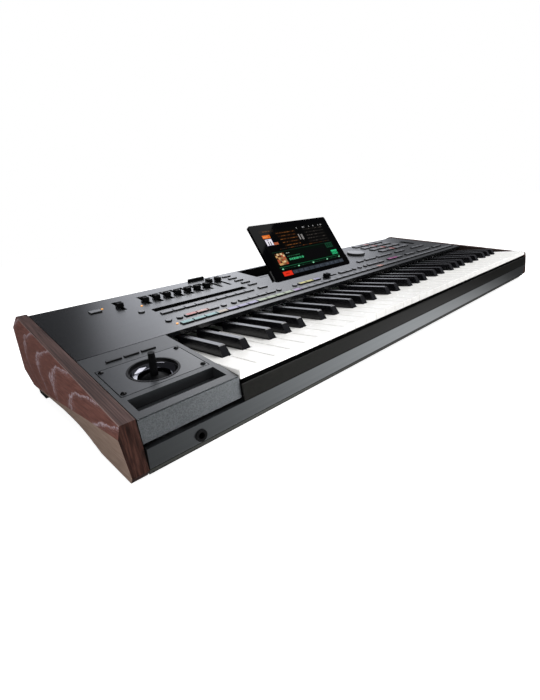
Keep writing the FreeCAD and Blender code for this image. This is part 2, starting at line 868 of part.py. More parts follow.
def build_joystick(screws):
    plate = box(plate_left, plate_right, plate_start, plate_start + plate_length, -plate_thickness, 0)
    holes = [rod_z(screw_shank_radius, x, v, -plate_thickness - over, over) for x, v in screw_places()]
    bowl_seat = bowl_radius - bowl_wall
    holes.append(rod_z(bowl_seat, plate_x, bowl_v, -plate_thickness - over, over))
    save("joystick_plate", on_deck(cut(plate, holes)))

    for x, v in screw_places():
        head = dome(screw_head_radius, screw_head_height, x, v)
        shank = rod_z(screw_shank_radius, x, v, screw_head_height - screw_length, 0)
        screws.append(on_deck(fuse([head, shank])))

    save_group("screws", screws)

    save("joystick_bowl", on_deck(bowl_solid()))

    pivot_w = -stick_pivot_depth
    ring_in = stick_dome_radius + gimbal_clearance
    ring_out = ring_in + gimbal_ring_width
    arm_in = ring_out + gimbal_arm_gap
    pin_end = arm_in + gimbal_arm_thickness
    half = gimbal_height / 2
    arm_out = bowl_radius + bowl_wall + gimbal_arm_thickness
    arms = []
    for side in (-1, 1):
        x0 = plate_x + min(side * arm_in, side * arm_out)
        arm = box(x0, x0 + arm_out - arm_in, bowl_v - gimbal_height, bowl_v + gimbal_height,
                  pivot_w - gimbal_height, -plate_thickness)
        bore = rod_x(gimbal_pin_radius + running_clearance, plate_x - pin_end - gimbal_arm_gap,
                     plate_x + pin_end + gimbal_arm_gap, bowl_v, pivot_w)
        arms.append(on_deck(cut(arm, [bore, turned(bowl_room(), plate_x, bowl_v)])))
    save_group("joystick_arms", arms)

    ring = rod_z(ring_out, plate_x, bowl_v, pivot_w - half, pivot_w + half)
    ring = ring.cut(rod_z(ring_in, plate_x, bowl_v, pivot_w - half - over, pivot_w + half + over))
    pins = [rod_x(gimbal_pin_radius, plate_x + (ring_in + ring_out) / 2, plate_x + pin_end, bowl_v, pivot_w),
            rod_x(gimbal_pin_radius, plate_x - pin_end, plate_x - (ring_in + ring_out) / 2, bowl_v, pivot_w)]
    cross_bore = rod_y(gimbal_pin_radius + running_clearance, plate_x, bowl_v - ring_out - over,
                       bowl_v + ring_out + over,
                       pivot_w)
    save("joystick_gimbal", on_deck(fuse([ring] + pins).cut(cross_bore)))

    ball = Part.makeSphere(stick_dome_radius, vec(plate_x, bowl_v, pivot_w))
    ball = ball.cut(box(plate_x - ring_out, plate_x + ring_out, bowl_v - ring_out, bowl_v + ring_out,
                        pivot_w - ring_out, pivot_w - half))
    shaft = Part.makeCone(stick_radius, stick_tip_radius, stick_rise - pivot_w, vec(plate_x, bowl_v, pivot_w))
    axle = rod_y(gimbal_pin_radius, plate_x, bowl_v - ring_out, bowl_v + ring_out, pivot_w)
    save("joystick_stick", on_deck(fuse([ball, shaft, axle])))


def bowl_solid():
    """Flat lip on the plate, a hollow wall curving down to the throat, and a seat in the plate's hole."""
    rim = bowl_radius - bowl_lip_width
    seat = bowl_radius - bowl_wall
    slant = bowl_wall * math.sqrt(0.5)
    lip = [(seat, -plate_thickness), (seat, 0), (bowl_radius, 0),
           (bowl_radius - bowl_lip_height, bowl_lip_height), (rim, bowl_lip_height)]
    wall = [(rim, bowl_lip_height), (bowl_knee_radius, -bowl_knee_depth), (bowl_throat_radius, -bowl_depth)]
    under = [(bowl_throat_radius, -bowl_depth - bowl_wall),
             (bowl_knee_radius + slant, -bowl_knee_depth - slant), (seat, -plate_thickness)]
    lip = [vec(plate_x + r, bowl_v, w) for r, w in lip]
    wall = [vec(plate_x + r, bowl_v, w) for r, w in wall]
    under = [vec(plate_x + r, bowl_v, w) for r, w in under]
    edges = list(Part.makePolygon(lip).Edges)
    edges += [Part.Arc(*wall).toShape(), Part.makeLine(wall[-1], under[0]), Part.Arc(*under).toShape()]
    face = Part.Face(Part.Wire(edges))
    return face.revolve(vec(plate_x, bowl_v, 0), vec(0, 0, 1), 360)


def bowl_room():
    """Turned clearance round the underside of the bowl."""
    reach = bowl_radius + bowl_wall
    return [(0, over), (reach, over), (reach, -plate_thickness - bowl_wall),
            (bowl_throat_radius + 2 * bowl_wall, -bowl_depth - 2 * bowl_wall),
            (0, -bowl_depth - 2 * bowl_wall)]


def build_switches():
    bars = [on_deck(key_bar(x, switch_v, switch_width, switch_depth, block_top_wall))
            for x in switch_places()]
    save_group("joystick_switches", bars)


# Buttons

def key_bar(x, v, width, depth, wall):
    """A button bar: a cap that stands above the wall and a flange that keeps it under the wall."""
    half = depth / 2
    foot = half + flange_width
    top = -wall - button_clearance
    outline = [(v - foot, top - flange_thickness), (v + foot, top - flange_thickness), (v + foot, top),
               (v + half, top),
               (v + half, button_rise - button_edge), (v + half - button_edge, button_rise),
               (v - half + button_edge, button_rise), (v - half, button_rise - button_edge), (v - half, top),
               (v - foot, top)]
    return prism_x(outline, x - width / 2, x + width / 2)


def button_bar(x, u, width, depth):
    return on_deck(key_bar(x, panel_v(u), width, depth, panel_thickness))


def button_hole(x, u, width, depth):
    half_x = width / 2 + button_clearance
    half_v = depth / 2 + button_clearance
    return box(x - half_x, x + half_x, panel_v(u) - half_v, panel_v(u) + half_v, -panel_lip_drop, over)


def round_button(x, u):
    top = -panel_thickness - button_clearance
    outline = [(0, top - flange_thickness), (round_radius + flange_width, top - flange_thickness),
               (round_radius + flange_width, top), (round_radius, top),
               (round_radius, button_rise - button_edge),
               (round_radius - button_edge, button_rise), (0, button_rise)]
    return on_deck(turned(outline, x, panel_v(u)))


def round_hole(x, u):
    return rod_z(round_radius + button_clearance, x, panel_v(u), -panel_lip_drop, over)


def bar_places():
    """Node name to the (x, u, width, depth) of each of its button bars."""
    places = {}
    places["front_row_buttons"] = [(column_x(n), front_row_u, button_width, front_row_depth)
                                   for n in range(front_row_count)]
    places["middle_row_buttons"] = [(column_x(n), middle_row_u, button_width, row_depth)
                                    for n in middle_row_columns]
    places["rear_buttons"] = [(column_x(n), rear_row_u, button_width, row_depth) for n in rear_row_columns]
    places["rear_buttons"] += [(key_x(side_column_x), side_column_u + n * side_column_pitch, button_width,
                                side_button_depth) for n in range(side_column_count)]
    places["keypad_buttons"] = [(key_x(keypad_x + i * keypad_pitch_x), keypad_u + j * keypad_pitch_u,
                                 keypad_width,
                                 keypad_depth) for j in range(keypad_rows) for i in range(keypad_columns)]
    places["power_button"] = [(key_x(power_x), power_u, power_width, power_depth)]
    return places


def round_places():
    places = [(column_x(n), middle_row_u) for n in round_columns]
    places.append((key_x(lone_round_x), lone_round_u))
    return places


def build_buttons():
    for node, bars in bar_places().items():
        save_group(node, [button_bar(*bar) for bar in bars])
    save_group("round_buttons", [round_button(x, u) for x, u in round_places()])


# Faders and dial

def fader_xs():
    return [key_x(fader_first_x + number * column_pitch) for number in range(fader_count)]


def fader_cap(x, v, along_x):
    """Cap with a hollowed top on a flat stem that runs in the slot below."""
    half_w = fader_cap_width / 2
    half_l = fader_cap_length / 2
    low = fader_cap_gap
    high = low + fader_cap_height
    waist = fader_cap_length / 5
    outline = [(v - half_l, low), (v + half_l, low), (v + half_l - waist / 2, high), (v + waist, high),
               (v, high - waist / 2), (v - waist, high), (v - half_l + waist / 2, high)]
    cap = prism_x(outline, x - half_w, x + half_w)
    stem = box(x - fader_stem_width / 2, x + fader_stem_width / 2, v - fader_stem_length / 2,
               v + fader_stem_length / 2,
               stem_w, low)
    whole = fuse([cap, stem])
    if along_x:
        whole = whole.rotated(vec(x, v, 0), vec(0, 0, 1), 90)
    return on_deck(whole)


def fader_slot(x, v0, length, along_x):
    half = fader_slot_width / 2
    if along_x:
        return box(x - length / 2, x + length / 2, v0 - half, v0 + half, pocket_w, over)
    return box(x - half, x + half, v0, v0 + length, pocket_w, over)


def panel_slots():
    slots = [fader_slot(x, panel_v(fader_slot_u), fader_slot_length, False)
             for x in fader_xs() + [key_x(volume_x)]]
    slots.append(fader_slot(key_x(cross_x), panel_v(cross_u), cross_slot_length, True))
    return slots


def build_faders():
    rest = panel_v(fader_slot_u + fader_stem_length / 2 + fader_rest)
    high = panel_v(fader_slot_u + fader_stem_length / 2 + fader_high_rest)
    xs = fader_xs()
    save_group("left_faders", [fader_cap(x, rest, False) for x in xs[:-high_fader_count]])
    save_group("right_faders", [fader_cap(x, high, False) for x in xs[-high_fader_count:]])
    save("volume_fader", fader_cap(key_x(volume_x), rest, False))
    cross_start = key_x(cross_x) - cross_slot_length / 2 + fader_stem_length / 2
    save("cross_fader", fader_cap(cross_start + cross_rest, panel_v(cross_u), True))

    top = -panel_thickness
    half = fader_body_width / 2
    margin = fader_body_margin
    v0 = panel_v(fader_slot_u) - margin
    v1 = panel_v(fader_slot_u + fader_slot_length) + margin
    bodies = [box(x - half, x + half, v0, v1, board_w, top) for x in xs + [key_x(volume_x)]]
    reach = cross_slot_length / 2 + margin
    bodies.append(box(key_x(cross_x) - reach, key_x(cross_x) + reach, panel_v(cross_u) - half,
                      panel_v(cross_u) + half,
                      board_w, top))
    bodies = [cut(body, panel_slots()) for body in bodies]
    side = encoder_size / 2
    encoder = box(key_x(dial_x) - side, key_x(dial_x) + side, panel_v(dial_u) - side,
                  panel_v(dial_u) + side, board_w, top)
    bore = rod_z(dial_shaft_radius + running_clearance, key_x(dial_x), panel_v(dial_u), pocket_w, over)
    bodies.append(encoder.cut(bore))
    save_group("fader_and_encoder_bodies", [on_deck(body) for body in bodies])

    low = dial_gap
    outline = [(0, low), (dial_radius, low), (dial_radius, low + dial_height / 2),
               (dial_radius - dial_edge, low + dial_height), (0, low + dial_height)]
    shaft = rod_z(dial_shaft_radius, key_x(dial_x), panel_v(dial_u), stem_w, low)
    save("data_dial", on_deck(fuse([turned(outline, key_x(dial_x), panel_v(dial_u)), shaft])))


# Top panel and its inlays

def inlay_places():
    strip = (key_x(strip_start_x + strip_length / 2), strip_u, strip_length, strip_depth)
    port = (key_x(port_cover_x), port_cover_u, port_cover_width, port_cover_depth)
    return [strip, port]


def inlay(x, u, width, depth, clearance, low, high):
    half_x = width / 2 + clearance
    half_v = depth / 2 + clearance
    return box(x - half_x, x + half_x, panel_v(u) - half_v, panel_v(u) + half_v, low, high)


def display_middle():
    return key_x(display_x)


def well_box(margin, low, high):
    """Deep well behind the display, grown sideways by margin."""
    half = well_half_width + margin
    return box(display_middle() - half, display_middle() + half, panel_v(well_start_u) - margin,
               panel_v(well_start_u + well_length) + margin, low, high)


def build_panel():
    left = inner_left + side_gap
    right = inner_right - side_gap
    sheet = box(left, right, panel_start, panel_v(panel_length), -panel_thickness, 0)
    lip = box(keys_left, right, panel_start, panel_start + panel_lip_thickness, -panel_lip_drop, 0)
    cuts = []
    for bars in bar_places().values():
        cuts += [button_hole(*bar) for bar in bars]
    cuts += [round_hole(x, u) for x, u in round_places()]
    cuts += panel_slots()
    cuts += [inlay(*place, inlay_clearance, -panel_lip_drop, over) for place in inlay_places()]
    cuts += [rod_z(light_radius + inlay_clearance, key_x(x), panel_v(u), -panel_lip_drop, over)
             for x, u in light_places]
    cuts.append(rod_z(dial_shaft_radius + button_clearance, key_x(dial_x), panel_v(dial_u),
                      -panel_lip_drop, over))
    cuts.append(well_box(0, -panel_lip_drop, over))
    groove = box(display_middle() - well_half_width, display_middle() + well_half_width, panel_v(groove_u),
                 panel_v(groove_u) + groove_width, -groove_depth, over)
    cuts.append(groove)
    save("top_panel", on_deck(cut(fuse([sheet, lip]), cuts)))

    save_group("black_inlays", [on_deck(inlay(*place, 0, -panel_thickness, inlay_rise))
                                for place in inlay_places()])
    lights = [rod_z(light_radius, key_x(x), panel_v(u), -panel_thickness, light_rise)
              for x, u in light_places]
    save_group("indicator_lights", [on_deck(light) for light in lights])

    clips = []
    middle = (inner_left + inner_right) / 2
    offset = middle - key_x(clip_x)
    back = panel_v(panel_length)
    for x in (middle - offset, middle + offset):
        clips.append(on_deck(box(x - clip_width / 2, x + clip_width / 2, back - clip_depth, back, 0,
                                 clip_height)))
    save_group("music_rest_clips", clips)


def build_display_tray():
    """Tub under the well, hung from a rim below the panel."""
    top = -panel_thickness
    rim = well_box(tray_rim, top - tray_sheet, top)
    tub = well_box(tray_sheet, -well_depth - tray_sheet, top)
    save("display_tray", on_deck(fuse([rim, tub]).cut(well_box(0, -well_depth, over))))


def build_boards():
    """Panel board cut away round the display tray, main board and power supply."""
    low = board_w - board_thickness
    back = panel_v(panel_length) - panel_board_end_gap
    board = box(keys_left, inner_right - panel_board_end_gap, panel_v(panel_board_start), back, low, board_w)
    notch = well_box(tray_rim + tray_sheet, low - over, board_w + over)
    save("panel_board", on_deck(board.cut(notch)))

    z = tray_top + standoff_height
    half = main_board_length / 2
    save("main_board", box(main_board_x - half, main_board_x + half, main_board_y,
                           main_board_y + main_board_depth, z,
                           z + board_thickness))
    x = inner_left + supply_side_gap
    save("power_supply", box(x, x + supply_length, supply_y, supply_y + supply_depth, tray_top,
                             tray_top + supply_height))


# Display, drawn flat in (x, f, d): f up its face from the lower edge, d out of the face

display_foot = deck_point(display_middle(), panel_v(display_u), display_lift)
display_placement = FreeCAD.Placement(display_foot, FreeCAD.Rotation(vec(1, 0, 0), display_angle))


def rounded_slab(f0, f1, half, d0, d1, corner):
    slab = box(-half, half, f0, f1, d0, d1)
    upright = [edge for edge in slab.Edges if abs(edge.Vertexes[0].Z - edge.Vertexes[1].Z) > (d1 - d0) / 2]
    return slab.makeFillet(corner, upright)


def set_up(shape):
    return placed(shape, display_placement)


def build_display():
    half = display_width / 2
    height = display_height
    frame_back = -glass_thickness - frame_thickness
    cover_back = frame_back - cover_thickness
    hump_back = cover_back - hump_depth
    foot = prism_x([(-over, -glass_thickness), (0, -glass_thickness), (foot_chamfer_height, cover_back),
                    (foot_chamfer_height, cover_back - over),
                    (-over, cover_back - over)], -half - over, half + over)
    save("display_glass", set_up(rounded_slab(0, height, half, -glass_thickness, 0, display_corner)))

    border = frame_border
    frame = rounded_slab(0, height, half, frame_back, -glass_thickness, display_corner)
    opening = box(-half + border, half - border, border * 2, height - border, frame_back - over, over)
    save("display_frame", set_up(cut(frame, [opening, foot])))

    inset = border + lcd_clearance
    lcd = box(-half + inset, half - inset, border * 2 + lcd_clearance, height - inset,
              -glass_thickness - lcd_thickness,
              -glass_thickness)
    save("display_lcd", set_up(lcd))

    pins = []
    slots = []
    brackets = []
    pivot = deck_placement.inverse().multVec(display_placement.multVec(vec(0, hinge_height, -hinge_depth)))
    crown = bracket_crown_radius
    for side in (-1, 1):
        x0 = side * hinge_spread - bracket_thickness / 2
        x1 = x0 + bracket_thickness
        room = bracket_gap + hinge_pin_bury
        pins.append(rod_x(hinge_pin_radius, x0 - room, x1 + room, hinge_height, -hinge_depth))
        slots.append(box(x0 - bracket_gap, x1 + bracket_gap, hump_start - over,
                         hinge_height + crown + bracket_gap,
                         hump_back - over, cover_back))
        leaf = box(x0, x1, pivot.y - crown, pivot.y + crown, 0, pivot.z)
        knuckle = rod_x(crown, x0, x1, pivot.y, pivot.z)
        bore = rod_x(hinge_pin_radius + running_clearance, x0 - over, x1 + over, pivot.y, pivot.z)
        bracket = fuse([leaf, knuckle]).cut(bore)
        brackets.append(on_deck(bracket.translated(vec(display_middle(), 0, 0))))
    save_group("display_hinge_pins", [set_up(pin) for pin in pins])
    save_group("display_brackets", brackets)

    cover = rounded_slab(0, height, half, cover_back, frame_back, display_corner)
    top = hump_start + hump_length
    hump = prism_x([(hump_start, cover_back), (hump_start, hump_back + hump_heel),
                    (hump_start + hump_heel, hump_back),
                    (top - hump_edge, hump_back), (top, cover_back)], -hump_half_width, hump_half_width)
    low = cover_back - lug_depth
    lugs = [box(half, half + lug_width, foot_chamfer_height, lug_top, low, -glass_thickness),
            box(-half - lug_width, -half, foot_chamfer_height, lug_top, low, -glass_thickness)]
    save("display_rear_cover", set_up(cut(fuse([cover.cut(foot), hump] + lugs), pins + slots)))


# Rear panel, sockets and mains inlet

def build_rear(front_jack):
    panel_end = deck_point(0, panel_v(panel_length) + rear_gap + rear_sheet / 2, -rear_gap)
    knee_z = wood_back_knee_height + rear_inset
    line = [(rear_foot_y, tray_height), (rear_y, knee_z), (rear_y, shoulder_z - rear_inset),
            (panel_end.y, panel_end.z)]
    sheet = prism_x(bent_sheet(line, rear_sheet), inner_left, inner_right)
    inside = rear_y - rear_sheet
    holes = []
    jacks = [front_jack]
    for number in range(jack_count):
        x = inner_left + jack_inset + number * jack_pitch
        holes.append(rod_y(jack_body_radius, x, inside - over, rear_y + over, jack_height))
        nut = rod_y(jack_nut_radius, x, rear_y, rear_y + jack_nut_height, jack_height)
        nut = nut.cut(rod_y(jack_bore_radius, x, rear_y - over, case_back + over, jack_height))
        jacks.append(fuse([socket(x, rear_y, jack_height, 1), nut]))
    save_group("jack_sockets", jacks)

    x = inner_right - inlet_inset
    half_x = inlet_width / 2
    low = jack_height - inlet_height / 2
    high = jack_height + inlet_height / 2
    edge = inlet_flange
    w = inlet_wall
    end = rear_y - inlet_depth
    body = box(x - half_x, x + half_x, end, rear_y, low, high)
    flange = box(x - half_x - edge, x + half_x + edge, rear_y, rear_y + w, low - edge, high + edge)
    hollow = box(x - half_x + w, x + half_x - w, end + w, rear_y + w + over, low + w, high - w)
    blades = []
    for step in (-1, 0, 1):
        middle = x + step * half_x / 2
        blades.append(box(middle - w / 2, middle + w / 2, end + w, end + inlet_depth / 2, jack_height - w,
                          jack_height + w))
    save("mains_inlet", fuse([fuse([body, flange]).cut(hollow)] + blades))
    holes.append(box(x - half_x, x + half_x, inside - over, rear_y + over, low, high))
    save("rear_panel", cut(sheet, holes))


def main():
    os.makedirs("parts", exist_ok=True)
    tails = build_keys()
    build_key_frame(tails)
    build_wood_ends()
    case_screws = build_tray()
    front_jack = build_front()
    build_block()
    build_joystick(case_screws)
    build_switches()
    build_buttons()
    build_faders()
    build_panel()
    build_display_tray()
    build_boards()
    build_display()
    build_rear(front_jack)


main()
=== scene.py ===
"""Looks of the arranger keyboard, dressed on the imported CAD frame.

Lengths are metres in the shared frame, unless a name or a docstring says mm.
"""

import math

import bpy
import numpy as np
from mathutils import Matrix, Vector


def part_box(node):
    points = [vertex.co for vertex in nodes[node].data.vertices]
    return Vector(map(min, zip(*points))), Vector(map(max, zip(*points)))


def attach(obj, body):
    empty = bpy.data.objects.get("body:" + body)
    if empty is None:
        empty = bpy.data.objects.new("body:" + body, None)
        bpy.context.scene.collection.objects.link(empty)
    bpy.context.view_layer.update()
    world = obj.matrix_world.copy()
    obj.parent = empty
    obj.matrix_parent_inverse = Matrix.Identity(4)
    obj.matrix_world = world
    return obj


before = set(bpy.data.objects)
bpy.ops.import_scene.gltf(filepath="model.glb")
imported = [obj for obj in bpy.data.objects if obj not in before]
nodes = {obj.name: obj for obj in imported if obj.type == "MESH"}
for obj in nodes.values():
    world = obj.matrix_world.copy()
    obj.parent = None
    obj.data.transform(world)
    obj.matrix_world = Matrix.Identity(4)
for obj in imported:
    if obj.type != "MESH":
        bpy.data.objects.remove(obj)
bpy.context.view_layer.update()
scene = bpy.context.scene
scene.view_settings.view_transform = "Standard"

MM = 0.001
DECK_SLOPE = math.radians(9.55)
DISPLAY_ANGLE = math.radians(58.4)
deck_normal = (0.0, -math.sin(DECK_SLOPE), math.cos(DECK_SLOPE))

# The first white key gives the place of the whole keyboard: its left side, front edge and top.
KEY_SIDE_GAP = 0.5 * MM
first_key_low, first_key_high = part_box("white_keys_c")
keys_left = first_key_low.x - KEY_SIDE_GAP
key_front = first_key_low.y
key_top = first_key_high.z

# Height of the wooden ends' sloping top edge along the deck's normal, from one point on that edge
EDGE_POINT_SETBACK = 1.8 * MM
EDGE_POINT_HEIGHT = 59.2 * MM
board_edge = (-(key_front + EDGE_POINT_SETBACK) * math.sin(DECK_SLOPE)
              + EDGE_POINT_HEIGHT * math.cos(DECK_SLOPE))


# Shader helpers

# Most values of a noise lie between these two
NOISE_LOW, NOISE_HIGH = 0.3, 0.7


def linear(code):
    """Linear RGBA of an sRGB hex colour."""
    srgb = np.array([int(code[i:i + 2], 16) for i in (1, 3, 5)]) / 255
    low, high = srgb / 12.92, ((srgb + 0.055) / 1.055) ** 2.4
    return (*np.where(srgb <= 0.04045, low, high).tolist(), 1.0)


def add(tree, kind, inputs=None, stops=None, **settings):
    """Adds one shader node. Inputs maps a socket to a value, a hex colour or the output that feeds it."""
    made = tree.nodes.new("ShaderNode" + kind)
    for name, value in settings.items():
        setattr(made, name, value)
    for socket, value in (inputs or {}).items():
        if isinstance(value, bpy.types.NodeSocket):
            tree.links.new(value, made.inputs[socket])
        else:
            made.inputs[socket].default_value = linear(value) if isinstance(value, str) else value
    if stops:
        ramp = made.color_ramp.elements
        for place, _ in stops[2:]:
            ramp.new(place)
        for element, (place, code) in zip(ramp, stops):
            element.position = place
            element.color = linear(code)
    return made


def new_material(name):
    """An empty node material and its tree."""
    made = bpy.data.materials.new(name)
    made.use_nodes = True
    made.node_tree.nodes.clear()
    return made, made.node_tree


def close(tree, colour, rough, normal=None, **sockets):
    """Principled shader with its output; extra names such as emission_color are sockets of the shader."""
    inputs = {"Base Color": colour, "Roughness": rough}
    if normal is not None:
        inputs["Normal"] = normal
    for name, value in sockets.items():
        inputs[name.replace("_", " ").title().replace("Ior", "IOR")] = value
    shader = add(tree, "BsdfPrincipled", inputs)
    add(tree, "OutputMaterial", {"Surface": shader.outputs["BSDF"]})


def grain(tree, size_mm, stretch=(1, 1, 1), detail=3.0, ragged=0.5):
    """Noise on Object coordinates with features of a given size, stretched along an axis by less than 1."""
    place = add(tree, "TexCoord").outputs["Object"]
    scale = tuple(s / (size_mm * MM) for s in stretch)
    mapped = add(tree, "Mapping", {"Vector": place, "Scale": scale})
    return add(tree, "TexNoise", {"Vector": mapped.outputs["Vector"], "Scale": 1.0, "Detail": detail,
                                  "Roughness": ragged})


def facing(tree, axis, low, high):
    """1 on faces that look along an axis, 0 on faces turned away from it; low and high are cosines."""
    normal = add(tree, "TexCoord").outputs["Normal"]
    along = add(tree, "VectorMath", {0: normal, 1: axis}, operation="DOT_PRODUCT")
    return add(tree, "MapRange", {"Value": along.outputs["Value"], "From Min": low, "From Max": high})


def surface(name, tones, rough, patch_mm, relief_mm, depth_mm, stretch=(1, 1, 1), **sockets):
    """A moulded, painted or brushed finish: two tones in soft patches, a relief and a varied roughness."""
    made, tree = new_material(name)
    patches = grain(tree, patch_mm, stretch).outputs["Fac"]
    colour = add(tree, "ValToRGB", {"Fac": patches}, stops=[(NOISE_LOW, tones[0]), (NOISE_HIGH, tones[1])])
    relief = grain(tree, relief_mm, stretch, 2.0).outputs["Fac"]
    gloss = add(tree, "MapRange", {"Value": relief, "From Min": NOISE_LOW, "From Max": NOISE_HIGH,
                                   "To Min": rough[0], "To Max": rough[1]})
    bump = add(tree, "Bump", {"Height": relief, "Strength": 1.0, "Distance": depth_mm * MM})
    close(tree, colour.outputs["Color"], gloss.outputs["Result"], bump.outputs["Normal"], **sockets)
    return made


# Walnut

# Growth lines: arches every 70 mm along the board, on an axis 45 mm below its top edge
RING_SPACING = 70 * MM
RING_START = 0.70
ARCH_AXIS_DEPTH = 45 * MM
ARCH_BEND = 42.0
RING_SWAY = 50 * MM
RING_RAGGEDNESS = 35 * MM
# Brightness from one arch to the next: a pale line that parts in two, a hairline, then none
RING_TONES = [(0.0, "#ffffff"), (0.05, "#f0f0f0"), (0.08, "#404040"), (0.11, "#d0d0d0"), (0.15, "#000000"),
              (0.20, "#000000"), (0.22, "#909090"), (0.24, "#000000"), (0.95, "#000000"), (1.0, "#ffffff")]
# Depths below the top edge between which the pale lines fade, and those between which the painted highlight
# along the top outer edge fades
LINES_FADE = (35 * MM, 72 * MM)
EDGE_HIGHLIGHT_BAND = (0.5 * MM, 1.3 * MM)


def walnut_finish():
    """Oiled walnut board: red-brown face with pale cathedral lines, a lower facet greyed by painted sheen,
    striped edges.

    An arch is the run along the board, less ARCH_BEND times the squared distance from the arches' axis. One
    noise sways it and a finer one makes it ragged. The inward side, toward the keys, is painted dark as
    shade.
    """
    made, tree = new_material("oiled walnut")
    place = add(tree, "TexCoord")
    spot = place.outputs["Object"]
    run = add(tree, "VectorMath", {0: spot, 1: (0, -math.cos(DECK_SLOPE), -math.sin(DECK_SLOPE))},
              operation="DOT_PRODUCT")
    height = add(tree, "VectorMath", {0: spot, 1: deck_normal}, operation="DOT_PRODUCT")
    depth = add(tree, "Math", {0: board_edge, 1: height.outputs["Value"]}, operation="SUBTRACT")
    depth = depth.outputs["Value"]
    below = add(tree, "Math", {0: depth, 1: ARCH_AXIS_DEPTH}, operation="SUBTRACT").outputs["Value"]
    bend = add(tree, "Math", {0: below, 1: below}, operation="MULTIPLY")
    arch = add(tree, "Math", {0: bend.outputs["Value"], 1: -ARCH_BEND, 2: run.outputs["Value"]},
               operation="MULTIPLY_ADD")
    sway = grain(tree, 45.0, (1.0, 1.0, 1.4), 1.0).outputs["Fac"]
    arch = add(tree, "Math", {0: sway, 1: RING_SWAY, 2: arch.outputs["Value"]}, operation="MULTIPLY_ADD")
    ragged = grain(tree, 8.0, detail=7.0, ragged=0.72).outputs["Fac"]
    arch = add(tree, "Math", {0: ragged, 1: RING_RAGGEDNESS, 2: arch.outputs["Value"]},
               operation="MULTIPLY_ADD")
    ring = add(tree, "Math", {0: arch.outputs["Value"], 1: 1 / RING_SPACING, 2: RING_START},
               operation="MULTIPLY_ADD")
    ring = add(tree, "Math", {0: ring.outputs["Value"]}, operation="FRACT")
    lines = add(tree, "ValToRGB", {"Fac": ring.outputs["Value"]}, stops=RING_TONES)
    patches = grain(tree, 2.6, (1.0, 0.7, 1.0), 4.0).outputs["Fac"]
    broken = add(tree, "MapRange", {"Value": patches, "From Min": 0.34, "From Max": 0.56})
    pale = add(tree, "Math", {0: lines.outputs["Color"], 1: broken.outputs["Result"]}, operation="MULTIPLY")
    fade = add(tree, "MapRange", {"Value": depth, "From Min": LINES_FADE[0], "From Max": LINES_FADE[1],
                                  "To Min": 0.95, "To Max": 0.30})
    pale = add(tree, "Math", {0: pale.outputs["Value"], 1: fade.outputs["Result"]}, operation="MULTIPLY")

    fine = grain(tree, 1.1, (1.0, 0.05, 1.0), 4.0).outputs["Fac"]
    heart = add(tree, "ValToRGB", {"Fac": fine},
                stops=[(0.25, "#54342d"), (0.5, "#744a42"), (0.8, "#8a5f55")])
    lower_facet_sheen = add(tree, "ValToRGB", {"Fac": fine},
              stops=[(0.25, "#745f54"), (0.5, "#8f796c"), (0.8, "#a18c7f")])
    stripes = grain(tree, 1.3, (1.0, 0.01, 0.08), 3.0).outputs["Fac"]
    end = add(tree, "ValToRGB", {"Fac": stripes},
              stops=[(0.3, "#1b0e0b"), (0.5, "#301c17"), (0.7, "#462c25")])
    rim = add(tree, "ValToRGB", {"Fac": stripes},
              stops=[(0.3, "#271a18"), (0.5, "#43302c"), (0.7, "#5c4743")])
    upward = facing(tree, deck_normal, 0.7, 0.9)
    edge = add(tree, "Mix", {0: upward.outputs["Result"], 6: end.outputs["Color"], 7: rim.outputs["Color"]},
               data_type="RGBA")

    x = add(tree, "SeparateXYZ", {"Vector": spot}).outputs["X"]
    side = add(tree, "Math", {0: x}, operation="SIGN")
    across = add(tree, "SeparateXYZ", {"Vector": place.outputs["Normal"]}).outputs["X"]
    outward = add(tree, "Math", {0: across, 1: side.outputs["Value"]}, operation="MULTIPLY")
    outward = outward.outputs["Value"]
    outside = add(tree, "MapRange", {"Value": outward, "From Min": 0.5, "From Max": 0.7})
    inside = add(tree, "MapRange", {"Value": outward, "From Min": -0.5, "From Max": -0.7})
    # Painted sheen: faces turned even slightly downward take a lighter, greyer tone
    under = facing(tree, (0, 0, -1), 0.02, 0.05)
    # Painted highlight: a pale band just below the top outer edge of each wooden end
    wear_and_highlight = add(tree, "MapRange", {"Value": depth, "From Min": EDGE_HIGHLIGHT_BAND[0], "From Max": EDGE_HIGHLIGHT_BAND[1],
                                  "To Min": 0.7, "To Max": 0.0})
    colour = heart.outputs["Color"]
    # Over the heartwood: the pale figure lines, the painted edge highlight and the painted sheen of the lower
    # facet
    for amount, tone in ((pale.outputs["Value"], "#b3a2aa"), (wear_and_highlight.outputs["Result"], "#a39490"),
                         (under.outputs["Result"], lower_facet_sheen.outputs["Color"])):
        colour = add(tree, "Mix", {0: amount, 6: colour, 7: tone}, data_type="RGBA").outputs[2]
    colour = add(tree, "Mix", {0: outside.outputs["Result"], 6: edge.outputs[2], 7: colour}, data_type="RGBA")
    # Painted shade: faces turned toward the keys get a near-black brown
    colour = add(tree, "Mix", {0: inside.outputs["Result"], 6: colour.outputs[2], 7: "#1f130f"},
                 data_type="RGBA")
    rough = add(tree, "MapRange", {"Value": fine, "To Min": 0.45, "To Max": 0.60})
    bump = add(tree, "Bump", {"Height": fine, "Strength": 0.6, "Distance": 0.08 * MM})
    close(tree, colour.outputs[2], rough.outputs["Result"], bump.outputs["Normal"], specular_ior_level=0.2)
    return made


# Joystick block, bowl and front rail

# Each pair says where a change of finish starts and ends: behind the block's front, from the bowl's axis
# and above the rail's bottom
LEATHER_END = (9.0 * MM, 9.5 * MM)
BOWL_LIP = (23.9 * MM, 24.3 * MM)
RAIL_CREASE = (8.2 * MM, 8.6 * MM)
